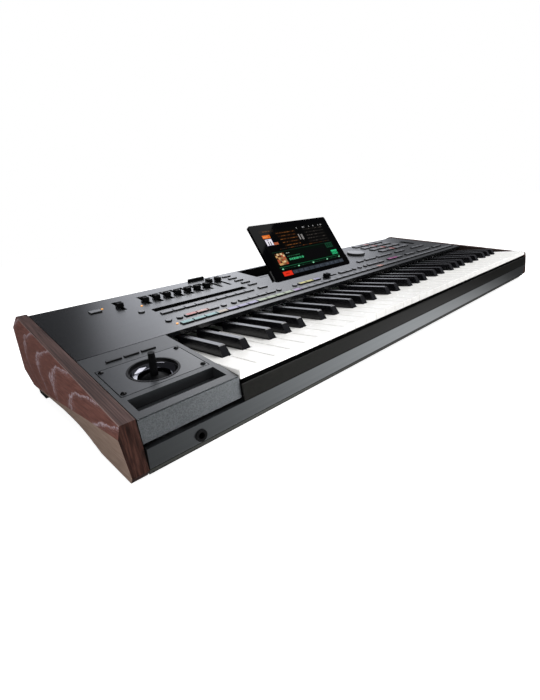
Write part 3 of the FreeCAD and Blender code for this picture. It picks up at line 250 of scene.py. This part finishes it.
# Tones up the rail's foot, for a height of 10 mm: painted shade along the lower edge, a lighter face and
# painted shade in the crease
FOOT_TONE_HEIGHT = 10 * MM
FOOT_TONES_AND_SHADE = [(0.0, "#1c1d1c"), (0.12, "#1c1d1c"), (0.22, "#3e3f3c"), (0.60, "#3e3f3c"), (0.70, "#1e1f1e")]
# The rail's etching is drawn out along it
RAIL_STRETCH = (0.004, 1, 1)


def block_finish():
    """Moulded black block: a fine satin top, and a front grained like leather that is a lighter grey."""
    made, tree = new_material("black ABS with a leather-grained front")
    y = add(tree, "SeparateXYZ", {"Vector": add(tree, "TexCoord").outputs["Object"]}).outputs["Y"]
    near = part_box("joystick_block")[0].y
    outer = add(tree, "MapRange", {"Value": y, "From Min": near + LEATHER_END[1],
                                   "From Max": near + LEATHER_END[0]})
    ahead = facing(tree, (0, -1, 0), 0.7, 0.9)
    front = add(tree, "Math", {0: outer.outputs["Result"], 1: ahead.outputs["Result"]}, operation="MULTIPLY")
    front = front.outputs["Value"]
    fine = grain(tree, 0.5, detail=2.0).outputs["Fac"]
    hide = grain(tree, 1.2, detail=3.0, ragged=0.6).outputs["Fac"]
    top = add(tree, "ValToRGB", {"Fac": fine}, stops=[(NOISE_LOW, "#1e2022"), (NOISE_HIGH, "#282a2c")])
    leather = add(tree, "ValToRGB", {"Fac": hide}, stops=[(0.35, "#3a3d3f"), (0.65, "#525558")])
    colour = add(tree, "Mix", {0: front, 6: top.outputs["Color"], 7: leather.outputs["Color"]},
                 data_type="RGBA")
    smooth = add(tree, "MapRange", {"Value": fine, "To Min": 0.44, "To Max": 0.56})
    relief = add(tree, "Mix", {0: front, 2: smooth.outputs["Result"], 3: hide}, data_type="FLOAT")
    bump = add(tree, "Bump", {"Height": relief.outputs[0], "Strength": 1.0, "Distance": 0.06 * MM})
    rough = add(tree, "MapRange", {"Value": hide, "To Min": 0.32, "To Max": 0.46})
    close(tree, colour.outputs[2], rough.outputs["Result"], bump.outputs["Normal"])
    return made


def bowl_finish():
    """Dark mirror-bright lacquer in the funnel, and a matt black lip round it."""
    made, tree = new_material("dark lacquered funnel with a matt lip")
    low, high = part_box("joystick_bowl")
    spot = add(tree, "TexCoord").outputs["Object"]
    offset = add(tree, "VectorMath", {0: spot, 1: (low + high) / 2}, operation="SUBTRACT")
    radial = add(tree, "VectorMath", {0: offset.outputs["Vector"], 1: deck_normal}, operation="CROSS_PRODUCT")
    radius = add(tree, "VectorMath", {0: radial.outputs["Vector"]}, operation="LENGTH")
    inside = add(tree, "MapRange", {"Value": radius.outputs["Value"], "From Min": BOWL_LIP[1],
                                    "From Max": BOWL_LIP[0]})
    inside = inside.outputs["Result"]
    swirl = grain(tree, 6.0).outputs["Fac"]
    lacquer = add(tree, "ValToRGB", {"Fac": swirl}, stops=[(NOISE_LOW, "#626268"), (NOISE_HIGH, "#6a6a70")])
    colour = add(tree, "Mix", {0: inside, 6: "#08080a", 7: lacquer.outputs["Color"]}, data_type="RGBA")
    rough = add(tree, "MapRange", {"Value": inside, "To Min": 0.55, "To Max": 0.06})
    close(tree, colour.outputs[2], rough.outputs["Result"], metallic=inside, specular_ior_level=0.2)
    return made


def rail_finish():
    """Satin-etched and dark anodised extrusion: a broad soft mirror of the floor over a dark matt foot."""
    made, tree = new_material("dark satin anodised aluminium")
    z = add(tree, "SeparateXYZ", {"Vector": add(tree, "TexCoord").outputs["Object"]}).outputs["Z"]
    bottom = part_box("front_rail")[0].z
    upper = add(tree, "MapRange", {"Value": z, "From Min": bottom + RAIL_CREASE[0],
                                   "From Max": bottom + RAIL_CREASE[1]})
    upper = upper.outputs["Result"]
    # Painted shade at the foot's lower edge and in the crease below the upper face
    height = add(tree, "MapRange", {"Value": z, "From Min": bottom, "From Max": bottom + FOOT_TONE_HEIGHT})
    foot = add(tree, "ValToRGB", {"Fac": height.outputs["Result"]}, stops=FOOT_TONES_AND_SHADE)
    streaks = grain(tree, 2.0, RAIL_STRETCH).outputs["Fac"]
    face = add(tree, "ValToRGB", {"Fac": streaks}, stops=[(NOISE_LOW, "#8b8f92"), (NOISE_HIGH, "#919598")])
    colour = add(tree, "Mix", {0: upper, 6: foot.outputs["Color"], 7: face.outputs["Color"]},
                 data_type="RGBA")
    relief = grain(tree, 0.5, RAIL_STRETCH, 2.0).outputs["Fac"]
    satin = add(tree, "MapRange", {"Value": relief, "From Min": NOISE_LOW, "From Max": NOISE_HIGH,
                                   "To Min": 0.28, "To Max": 0.34})
    rough = add(tree, "MapRange", {"Value": upper, "To Min": 0.7, "To Max": satin.outputs["Result"]})
    bump = add(tree, "Bump", {"Height": relief, "Strength": 1.0, "Distance": 0.002 * MM})
    close(tree, colour.outputs[2], rough.outputs["Result"], bump.outputs["Normal"], metallic=upper,
          specular_ior_level=0.1)
    return made


# Buttons and dial

# The panel's columns: the middle of the first one from the keys' left side, their pitch and their number
FIRST_COLUMN = 42.6 * MM
COLUMN_PITCH = 19.15 * MM
COLUMN_COUNT = 42

GREY = "#66676b"
# Tint of each bank's caps from a column on
BUTTONS = {
    "front_row_buttons": [(0, "#5d8f8f"), (3, "#9c8a74"), (4, "#837ca3"), (7, "#8d9b7c"), (11, "#86699a"),
                          (12, GREY), (24, "#b07f76"), (25, GREY)],
    "middle_row_buttons": [(0, GREY), (1, "#a8483f"), (2, "#b0796e"), (3, GREY), (13, "#b9b24f"),
                           (15, "#837ca3"), (16, GREY), (28, "#94457f"), (30, GREY)],
    "rear_buttons": [(0, GREY), (41, "#a05a50")],
    "keypad_buttons": [(0, GREY), (34, "#8d4a44"), (35, GREY)],
    "round_buttons": [(0, GREY), (41, "#55565a")],
    "power_button": [(0, "#77787c"), (41, GREY)],
    "joystick_switches": [(0, "#26282a"), (41, GREY)],
}


def cap_finish(name, stops, side="#050506"):
    """Satin moulded caps: the top takes its tint from the column it stands in, the sides are painted near
    black as shade.
    """
    made, tree = new_material(name)
    spot = add(tree, "SeparateXYZ", {"Vector": add(tree, "TexCoord").outputs["Object"]})
    left = keys_left + FIRST_COLUMN - COLUMN_PITCH / 2
    column = add(tree, "MapRange", {"Value": spot.outputs["X"], "From Min": left,
                                    "From Max": left + COLUMN_COUNT * COLUMN_PITCH})
    tint = add(tree, "ValToRGB", {"Fac": column.outputs["Result"]},
               stops=[(n / COLUMN_COUNT, code) for n, code in stops])
    tint.color_ramp.interpolation = "CONSTANT"
    wear = grain(tree, 6.0).outputs["Fac"]
    wear_and_highlight = add(tree, "Mix", {0: wear, 6: tint.outputs["Color"], 7: "#dcdcdc"}, data_type="RGBA",
               blend_type="MULTIPLY")
    # Painted shade: every face but the top takes the dark side tone
    top = facing(tree, deck_normal, 0.80, 0.97).outputs["Result"]
    colour = add(tree, "Mix", {0: top, 6: side, 7: wear_and_highlight.outputs[2]}, data_type="RGBA")
    fine = grain(tree, 0.35, detail=2.0).outputs["Fac"]
    bump = add(tree, "Bump", {"Height": fine, "Strength": 0.5, "Distance": 0.01 * MM})
    rough = add(tree, "MapRange", {"Value": top, "To Min": 0.55, "To Max": 0.30})
    close(tree, colour.outputs[2], rough.outputs["Result"], bump.outputs["Normal"], specular_ior_level=0.3)
    return made


# Display picture

# The picture lies this far above the glass, and each of its layers this far above the one below
PICTURE_LIFT = 0.03 * MM
LAYER_STEP = 0.02 * MM
PICTURE_SEED = 7
# Bars of a line of small text, in mm: how many are drawn, their least length, the gaps and their layer
BAR_COUNT = 40
SHORTEST_BAR = 1.2
BAR_GAPS = (0.6, 2.0)
BAR_LAYER = 3


def display_axes():
    """Foot of the glass at its middle, and the directions across, up and out of its face."""
    mesh = nodes["display_glass"].data
    points = np.empty(len(mesh.vertices) * 3)
    mesh.vertices.foreach_get("co", points)
    points = points.reshape(-1, 3)
    across = np.array([1.0, 0.0, 0.0])
    up = np.array([0.0, math.cos(DISPLAY_ANGLE), math.sin(DISPLAY_ANGLE)])
    out = np.array([0.0, -math.sin(DISPLAY_ANGLE), math.cos(DISPLAY_ANGLE)])
    middle = (points[:, 0].min() + points[:, 0].max()) / 2
    foot = middle * across + (points @ up).min() * up + (points @ out).max() * out
    return foot, across, up, out


def lit_picture(name, tiles):
    """One flat quad per tile: corner = foot + s*across + t*up + lift*out, with the tile's colour on it."""
    foot, across, up, out = display_axes()
    edges = np.array([tile[:4] for tile in tiles], float) * MM
    layer = np.array([tile[5] for tile in tiles], float)[:, None, None] * LAYER_STEP
    s = edges[:, [0, 2, 2, 0]][..., None]
    t = edges[:, [1, 1, 3, 3]][..., None]
    corners = foot + s * across + t * up + (PICTURE_LIFT + layer) * out
    mesh = bpy.data.meshes.new(name)
    faces = np.arange(len(tiles) * 4).reshape(-1, 4)
    mesh.from_pydata(corners.reshape(-1, 3).tolist(), [], faces.tolist())
    tint = mesh.color_attributes.new("tint", "FLOAT_COLOR", "CORNER")
    colours = np.repeat(np.array([linear(tile[4]) for tile in tiles]), 4, axis=0)
    tint.data.foreach_set("color", colours.ravel())
    made = bpy.data.objects.new(name, mesh)
    scene.collection.objects.link(made)
    return made


def dashes(chance, left, right, row, height, colours, longest=7.0):
    """A row of short bars with gaps between them, which reads as a line of small text."""
    widths = chance.uniform(SHORTEST_BAR, longest, BAR_COUNT)
    steps = widths + chance.uniform(*BAR_GAPS, BAR_COUNT)
    starts = left + np.concatenate([[0.0], np.cumsum(steps)[:-1]])
    tints = chance.choice(colours, BAR_COUNT)
    return [(x, row, min(x + w, right), row + height, str(c), BAR_LAYER)
            for x, w, c in zip(starts, widths, tints) if x < right - 1]


def picture_tiles():
    """Left, bottom, right and top of every tile in mm on the glass, with its colour and layer."""
    chance = np.random.default_rng(PICTURE_SEED)
    # Dark ground, a heading and a list in brown
    tiles = [(-90, 5, 94, 106, "#030303", 0)]
    tiles += [(-88, 100.6, -54, 104.4, "#2a180a", 1), (-87.4, 101.2, -54.6, 103.8, "#0b0704", 2)]
    tiles += dashes(chance, -80, -62, 102, 1.0, ["#6a4420"])
    tiles += [(-86, 88, -67, 95, "#d9691a", 1)]
    tiles += dashes(chance, -84, -70, 90.6, 1.6, ["#f3a45c", "#a64c10"], 4.0)
    for n, row in enumerate(np.linspace(95, 67, 5)):
        tiles.append((-52 + 2 * n, row - 1.8, 2, row + 3.4, "#120a05", 1))
        tiles += dashes(chance, -50 + 2 * n, 0, row, 1.2, ["#5a3418", "#2e1a0d", "#7a4a22"])
        tiles.append((24, row - 1.8, 84, row + 3.4, "#0b0a09", 1))
        tiles += dashes(chance, 26, 82, row, 1.0, ["#2a2724", "#4a4440", "#1a1816"])
    tiles += dashes(chance, -60, 84, 61.4, 1.2, ["#6a3d1c", "#3a2210", "#2a2724"])
    # Small pale picture, meters and a row of marks
    tiles += [(-85, 72, -66.6, 87, "#2a1440", 1), (-84, 73, -68, 86, "#e9e6ee", 2)]
    tiles += [(-79.5, 73, -77.5, 81, "#120a1c", 3), (-74.5, 73, -72.5, 81, "#120a1c", 3)]
    tiles += [(-81, 82.6, -76, 84.4, "#6a5a80", 3)]
    tiles += [(-68, 72.5, -56, 77.5, "#a8583a", 1)]
    tiles += [(4, 75, 7, 87, "#8f8b88", 2), (11, 74, 16, 86, "#7d7a78", 2)]
    marks = ((9, 2), (26, 4), (31, 1.4), (45, 2), (58, 2.6), (74, 1.6), (81, 4))
    tiles += [(x, 99.6, x + w, 102.4, "#8f8f8f", 1) for x, w in marks]
    # Green half with a brown mosaic at its left
    tiles += [(-84, 20, 88, 58, "#040a06", 1), (-84, 56.9, 88, 57.7, "#0f3020", 2)]
    across, upward = np.meshgrid(np.linspace(-80, -61.6, 5), np.linspace(30, 50, 6))
    browns = chance.choice(["#7a4527", "#c79a63", "#a84a30", "#4a2a18", "#d9bd92", "#8f6a45"], across.size)
    tiles += [(x, y, x + 4.6, y + 4.0, str(c), 2) for x, y, c in zip(across.ravel(), upward.ravel(), browns)]
    tiles += dashes(chance, -51, -42, 51.4, 1.2, ["#9aa79f"], 4.0)
    tiles += dashes(chance, -52, -18, 44.4, 1.0, ["#1f5036", "#2c6a48"])
    tiles += dashes(chance, -50, -12, 36.2, 4.2, ["#38a36f", "#43b87f"], 3.0)
    tiles += [(-6, 30, 58, 50, "#070708", 2), (64, 46, 84, 57, "#123d29", 2), (70, 29, 88, 39, "#2fbf7c", 2)]
    tiles += [(70.6 + 4.6 * n, 29.6, 73.4 + 4.6 * n, 36, "#15603d", 3) for n in range(4)]
    tiles += [(66 + 6 * n, 48, 70 + 6 * n, 55.4, "#0a2417", 3) for n in range(3)]
    tiles += [(-84, 25.2, 88, 26.2, "#185c3a", 2)]
    tiles += dashes(chance, -72, 86, 21.4, 1.0, ["#0f3020", "#1a4a32"])
    tiles += [(x, 20.8, x + 4, 23.0, "#8fe0b2", 4) for x in (-80, -38, 3, 45, 83)]
    # Red button and grey buttons along the foot
    tiles += [(-83, 7.3, -60, 16.5, "#e0301c", 1)]
    tiles += dashes(chance, -77, -66, 10.6, 2.6, ["#8c1a0e"], 4.0)
    tiles += [(-58 + n * 15, 8.4, -44.2 + n * 15, 15.4, "#363c45", 1) for n in range(10)]
    tiles += dashes(chance, -54, 88, 11.2, 1.2, ["#4c535d", "#2a2f36"], 5.0)
    return tiles


def picture_finish():
    """Lit display picture behind clear glass: each tile glows in its own colour under a smooth face."""
    made, tree = new_material("lit display picture")
    tint = add(tree, "Attribute", attribute_name="tint").outputs["Color"]
    smear = grain(tree, 9.0).outputs["Fac"]
    rough = add(tree, "MapRange", {"Value": smear, "To Min": 0.03, "To Max": 0.10})
    close(tree, "#020202", rough.outputs["Result"], specular_ior_level=0.02, emission_color=tint,
          emission_strength=1.0)
    return made


picture = lit_picture("display_picture", picture_tiles())
picture.data.materials.append(picture_finish())
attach(picture, "display")


# Finishes of the CAD nodes: tones, roughness, size of the patches, size and depth of the relief in mm

# Aluminium sheet, brushed along its length and stoved black: a soft, slightly streaked gloss
panel_paint = surface("satin black brushed aluminium", ("#0b0c0d", "#101113"), (0.23, 0.27), 1.2, 0.6, 0.001,
                      (0.001, 1, 1))
# Blasted and painted plate: an even satin sheen with a fine tooth
plate_metal = surface("satin black aluminium plate", ("#1a1c1e", "#222427"), (0.28, 0.36), 3.0, 0.4, 0.008)
# Polycarbonate polished from the mould and treated against reflections: deep black
gloss_plastic = surface("polished black polycarbonate", ("#020203", "#040406"), (0.10, 0.16), 14.0, 9.0,
                        0.004, specular_ior_level=0.04)
# Spark-eroded ABS: dull black with a fine grain
satin_plastic = surface("satin black ABS", ("#060607", "#0b0b0c"), (0.35, 0.50), 4.0, 0.4, 0.01,
                        specular_ior_level=0.25)
# Soft-touch caps: almost no gloss, so that they stand out black against the panel
cap_plastic = surface("soft black fader caps", ("#070708", "#0d0d0e"), (0.40, 0.50), 4.0, 0.4, 0.004,
                      specular_ior_level=0.05)
# Rubber strip that swallows the light
matt_strip = surface("matt black rubber strip", ("#040404", "#080808"), (0.75, 0.9), 3.0, 0.5, 0.01,
                     specular_ior_level=0.0)
# Moulded strip under the keys, warm near-black
slip_plastic = surface("charcoal moulded strip", ("#0b0b0a", "#10100e"), (0.35, 0.45), 3.0, 0.5, 0.01,
                       specular_ior_level=0.2)
# Polished acrylic caps: clean white with a faint long waviness
white_cap = surface("white acrylic key cap", ("#f1f0ed", "#f6f5f3"), (0.20, 0.28), 18.0, 6.0, 0.002,
                    specular_ior_level=0.12)
# Black caps with a fine tooth: the tops turn grey where they face the light wall
black_cap = surface("black moulded key cap", ("#050507", "#09090c"), (0.20, 0.28), 8.0, 0.5, 0.004)
# Dull rubber with a pitted skin
rubber = surface("black rubber", ("#0d0d0d", "#171717"), (0.7, 0.9), 2.0, 0.6, 0.05)
# Wool felt, with a nap drawn a little coarser than it is
felt = surface("black wool felt", ("#0e0e0e", "#1a1a1a"), (0.9, 1.0), 1.0, 0.4, 0.15)
# Powder coat: an orange-peel relief with a low gloss
sheet_steel = surface("black powder-coated steel", ("#131314", "#1c1c1e"), (0.45, 0.6), 5.0, 0.6, 0.03)
# Zinc plating: cool grey metal with a patchy spangle
zinc = surface("zinc-plated steel", ("#8d8f92", "#a5a7aa"), (0.25, 0.4), 7.0, 0.8, 0.01, metallic=1.0)
# Oxidised screw heads: black with a small hard glint
dark_steel = surface("black oxide screw steel", ("#030303", "#070708"), (0.25, 0.35), 1.0, 0.4, 0.004,
                     specular_ior_level=0.15)
# Lacquered circuit board: green with a low satin gloss
solder_mask = surface("green solder mask", ("#0d3a22", "#14502f"), (0.3, 0.45), 6.0, 1.5, 0.02)
# Glass over a black print, treated against reflections: smooth and black
display_pane = surface("black-backed display glass", ("#020203", "#040405"), (0.03, 0.06), 30.0, 20.0, 0.0,
                       specular_ior_level=0.02)
# Frosted acrylic with a lamp behind it: a small amber glow
lamp = surface("amber lit acrylic", ("#f0a03c", "#f7b75a"), (0.2, 0.3), 2.0, 1.0, 0.01,
               emission_color="#f2a444", emission_strength=0.6)

FINISHES = {
    walnut_finish(): ["left_wood_end", "right_wood_end"],
    panel_paint: ["top_panel"],
    block_finish(): ["joystick_block"],
    bowl_finish(): ["joystick_bowl"],
    plate_metal: ["joystick_plate"],
    gloss_plastic: ["display_frame"],
    matt_strip: ["black_inlays"],
    cap_plastic: ["left_faders", "right_faders", "volume_fader", "cross_fader", "joystick_stick"],
    satin_plastic: ["joystick_arms", "joystick_gimbal", "music_rest_clips", "display_rear_cover",
                    "display_tray", "fader_and_encoder_bodies", "mains_inlet", "key_frame", "jack_sockets"],
    rail_finish(): ["front_rail"],
    slip_plastic: ["key_slip"],
    rubber: ["rubber_feet", "key_contacts"],
    felt: ["key_felt"],
    sheet_steel: ["base_tray", "rear_panel"],
    zinc: ["display_brackets", "display_hinge_pins", "key_pivot_rod", "key_springs", "power_supply",
           "display_lcd"],
    dark_steel: ["screws"],
    solder_mask: ["main_board", "panel_board"],
    display_pane: ["display_glass"],
    lamp: ["indicator_lights"],
    # The dial's sides are painted a dark grey as shade
    cap_finish("moulded dial", [(0, "#8a8c90"), (41, GREY)], side="#2e2f31"): ["data_dial"],
    white_cap: ["white_keys_" + note for note in "cdefgab"],
    black_cap: ["black_keys_" + note + "_sharp" for note in "cdfga"],
}
FINISHES.update({cap_finish("moulded caps of " + name, stops): [name] for name, stops in BUTTONS.items()})
for finish, names in FINISHES.items():
    for name in names:
        nodes[name].data.materials.clear()
        nodes[name].data.materials.append(finish)

# The display's dark face is kept out of the mirror images in the panel and the key tops.
for shown in [nodes[name] for name in nodes if name.startswith("display_")] + [picture]:
    shown.visible_glossy = False


# Stage: white floor that keeps the shadow, and a studio sky

FLOOR_HALF = 30.0
# The floor's own glow near the part, where its shadow falls, and the distances over which it rises to white
FLOOR_GLOW = 0.80
GLOW_RISE = (0.6, 1.3)
# Pool of light that polished faces see on the floor: its middle, its reach, and its middle and outer strength
POOL = (-0.02, -0.262, 0.0)
POOL_REACH = 0.55
POOL_STRENGTH = (0.95, 0.07)


def floor_sheet(half):
    """Flat square floor at height 0, from -half to half both ways."""
    mesh = bpy.data.meshes.new("floor")
    corners = [(-half, -half, 0), (half, -half, 0), (half, half, 0), (-half, half, 0)]
    mesh.from_pydata(corners, [], [(0, 1, 2, 3)])
    made = bpy.data.objects.new("floor", mesh)
    scene.collection.objects.link(made)
    return made


def floor_finish():
    """White studio floor: matt under the lamps, with the white of the background added where it is looked at.

    Polished faces see it as a pool of light in front of the keys that dims outwards.
    """
    made, tree = new_material("white studio floor")
    path = add(tree, "LightPath")
    spot = add(tree, "TexCoord").outputs["Object"]
    from_middle = add(tree, "VectorMath", {0: spot}, operation="LENGTH")
    seen = add(tree, "MapRange", {"Value": from_middle.outputs["Value"], "From Min": GLOW_RISE[0],
                                  "From Max": GLOW_RISE[1], "To Min": FLOOR_GLOW, "To Max": 1.0})
    from_pool = add(tree, "VectorMath", {0: spot, 1: POOL}, operation="DISTANCE")
    mirrored = add(tree, "MapRange", {"Value": from_pool.outputs["Value"], "From Min": 0.0,
                                      "From Max": POOL_REACH, "To Min": POOL_STRENGTH[0],
                                      "To Max": POOL_STRENGTH[1]}, interpolation_type="SMOOTHSTEP")
    glow = add(tree, "Mix", {0: path.outputs["Is Camera Ray"], 2: path.outputs["Is Transmission Ray"],
                             3: seen.outputs["Result"]}, data_type="FLOAT")
    matt = add(tree, "BsdfDiffuse", {"Color": "#dcdcdc"})
    light = add(tree, "Emission", {"Color": "#ffffff", "Strength": glow.outputs[0]})
    both = add(tree, "AddShader", {0: matt.outputs["BSDF"], 1: light.outputs["Emission"]})
    pool = add(tree, "Emission", {"Color": "#ffffff", "Strength": mirrored.outputs["Result"]})
    shown = add(tree, "MixShader", {0: path.outputs["Is Glossy Ray"], 1: both.outputs["Shader"],
                                    2: pool.outputs["Emission"]})
    add(tree, "OutputMaterial", {"Surface": shown.outputs["Shader"]})
    made.cycles.emission_sampling = "NONE"
    return made


floor = floor_sheet(FLOOR_HALF)
floor.data.materials.append(floor_finish())

# Strength of the sky on matt faces, and for polished ones of the room at its left and right, of the wall and
# of what the wall's bright part adds
SKY_ON_MATT = 0.33
ROOM_STRENGTH = (0.08, 0.22)
WALL_STRENGTH = 1.25
WINDOW_STRENGTH = 0.7
# Level directions to the wall's middle, to its right and to its bright part
WALL_AHEAD, WALL_BESIDE, WINDOW_AHEAD = (0.629, 0.777, 0), (0.777, -0.629, 0), (0.545, 0.839, 0)
# Cosines of the angles at which the wall and its bright part start and are full
WALL_EDGE = (0.9135, 0.951)
WINDOW_EDGE = (0.972, 1.0)
# Half the width over which the room goes from its left strength to its right one
ROOM_BLEND = 0.1


def studio_sky():
    """World: white where the camera looks and through clear pieces, a soft even light on matt faces.

    Satin and polished faces see a tall white wall towards the right rear of a dim room. It is 42 degrees wide
    and has one brighter part.
    """
    made = bpy.data.worlds.new("studio")
    made.use_nodes = True
    tree = made.node_tree
    tree.nodes.clear()
    path = add(tree, "LightPath")
    toward = add(tree, "TexCoord").outputs["Generated"]
    level = add(tree, "VectorMath", {0: toward, 1: (1, 1, 0)}, operation="MULTIPLY")
    level = add(tree, "VectorMath", {0: level.outputs["Vector"]}, operation="NORMALIZE")
    ahead, beside, middle = [
        add(tree, "VectorMath", {0: level.outputs["Vector"], 1: axis}, operation="DOT_PRODUCT")
        for axis in (WALL_AHEAD, WALL_BESIDE, WINDOW_AHEAD)]
    room = add(tree, "MapRange", {"Value": beside.outputs["Value"], "From Min": -ROOM_BLEND,
                                  "From Max": ROOM_BLEND, "To Min": ROOM_STRENGTH[0],
                                  "To Max": ROOM_STRENGTH[1]})
    wall = add(tree, "MapRange", {"Value": ahead.outputs["Value"], "From Min": WALL_EDGE[0],
                                  "From Max": WALL_EDGE[1], "To Min": room.outputs["Result"],
                                  "To Max": WALL_STRENGTH}, interpolation_type="SMOOTHSTEP")
    window = add(tree, "MapRange", {"Value": middle.outputs["Value"], "From Min": WINDOW_EDGE[0],
                                    "From Max": WINDOW_EDGE[1], "To Min": 0.0,
                                    "To Max": WINDOW_STRENGTH}, interpolation_type="SMOOTHSTEP")
    bright = add(tree, "Math", {0: wall.outputs["Result"], 1: window.outputs["Result"]}, operation="ADD")
    light = add(tree, "Mix", {0: path.outputs["Is Glossy Ray"], 2: SKY_ON_MATT, 3: bright.outputs["Value"]},
                data_type="FLOAT")
    for ray in ("Is Camera Ray", "Is Transmission Ray"):
        light = add(tree, "Mix", {0: path.outputs[ray], 2: light.outputs[0], 3: 1.0}, data_type="FLOAT")
    tint = add(tree, "Mix", {0: path.outputs["Is Glossy Ray"], 6: "#ffffff", 7: "#f3f6ff"}, data_type="RGBA")
    backdrop = add(tree, "Background", {"Color": tint.outputs[2], "Strength": light.outputs[0]})
    add(tree, "OutputWorld", {"Surface": backdrop.outputs["Background"]})
    return made


scene.world = studio_sky()


# Lamps

def softbox(name, place, aim, width, height, power, mirrored=True):
    """Rectangular studio lamp at a place, turned to face a point; one that isn't mirrored gives no glints."""
    data = bpy.data.lights.new(name, "AREA")
    data.shape = "RECTANGLE"
    data.size, data.size_y, data.energy = width, height, power
    made = bpy.data.objects.new(name, data)
    scene.collection.objects.link(made)
    back = np.array(place) - np.array(aim)
    back = back / np.linalg.norm(back)
    side = np.cross((0.0, 0.0, 1.0), back)
    side = side / np.linalg.norm(side)
    turn = np.column_stack([side, np.cross(back, side), back, np.array(place)])
    made.matrix_world = Matrix([*turn.tolist(), (0, 0, 0, 1)])
    made.visible_camera = False
    made.visible_glossy = mirrored


softbox("overhead softbox", (1.15, -0.3, 2.2), (0.1, -0.05, 0.0), 2.2, 1.4, 54.0)
softbox("rear softbox", (1.19, 1.57, 1.62), (0.0, 0.0, 0.08), 1.1, 0.8, 5.5)
softbox("left softbox", (-1.7, -0.9, 0.55), (-0.45, -0.1, 0.05), 1.0, 0.9, 9.5)
softbox("front strip light", (-0.32, -0.34, 0.05), (-0.36, -0.2, 0.04), 0.06, 0.04, 0.3, mirrored=False)
softbox("front fill light", (1.0, -1.2, 0.22), (0.3, -0.2, 0.05), 0.9, 0.4, 8.0, mirrored=False)


# Camera: stands left of and above the front of the keys, turned to the right and rolled

# Place from the first key's front left top corner
CAMERA_PLACE = (-196.0 * MM, -286.1 * MM, 127.0 * MM)
CAMERA_TURN = math.radians(39.74)
CAMERA_DOWN = math.radians(17.73)
CAMERA_ROLL = math.radians(-7.79)
LENS_MM = 19.5
SENSOR_MM = 36.0
CLIP_START = 0.01


def photo_camera():
    """Camera whose axes are the turned, lowered and rolled view direction."""
    a, b, c = CAMERA_TURN, CAMERA_DOWN, CAMERA_ROLL
    ahead = np.array([math.sin(a) * math.cos(b), math.cos(a) * math.cos(b), -math.sin(b)])
    right = np.array([math.cos(a), -math.sin(a), 0.0])
    up = np.cross(right, ahead)
    axes = [right * math.cos(c) + up * math.sin(c), up * math.cos(c) - right * math.sin(c), -ahead]
    place = np.array([keys_left, key_front, key_top]) + np.array(CAMERA_PLACE)
    data = bpy.data.cameras.new("camera")
    data.lens = LENS_MM
    data.sensor_width = SENSOR_MM
    data.clip_start = CLIP_START
    made = bpy.data.objects.new("camera", data)
    scene.collection.objects.link(made)
    made.matrix_world = Matrix([*np.column_stack([*axes, place]).tolist(), (0, 0, 0, 1)])
    scene.camera = made


photo_camera()
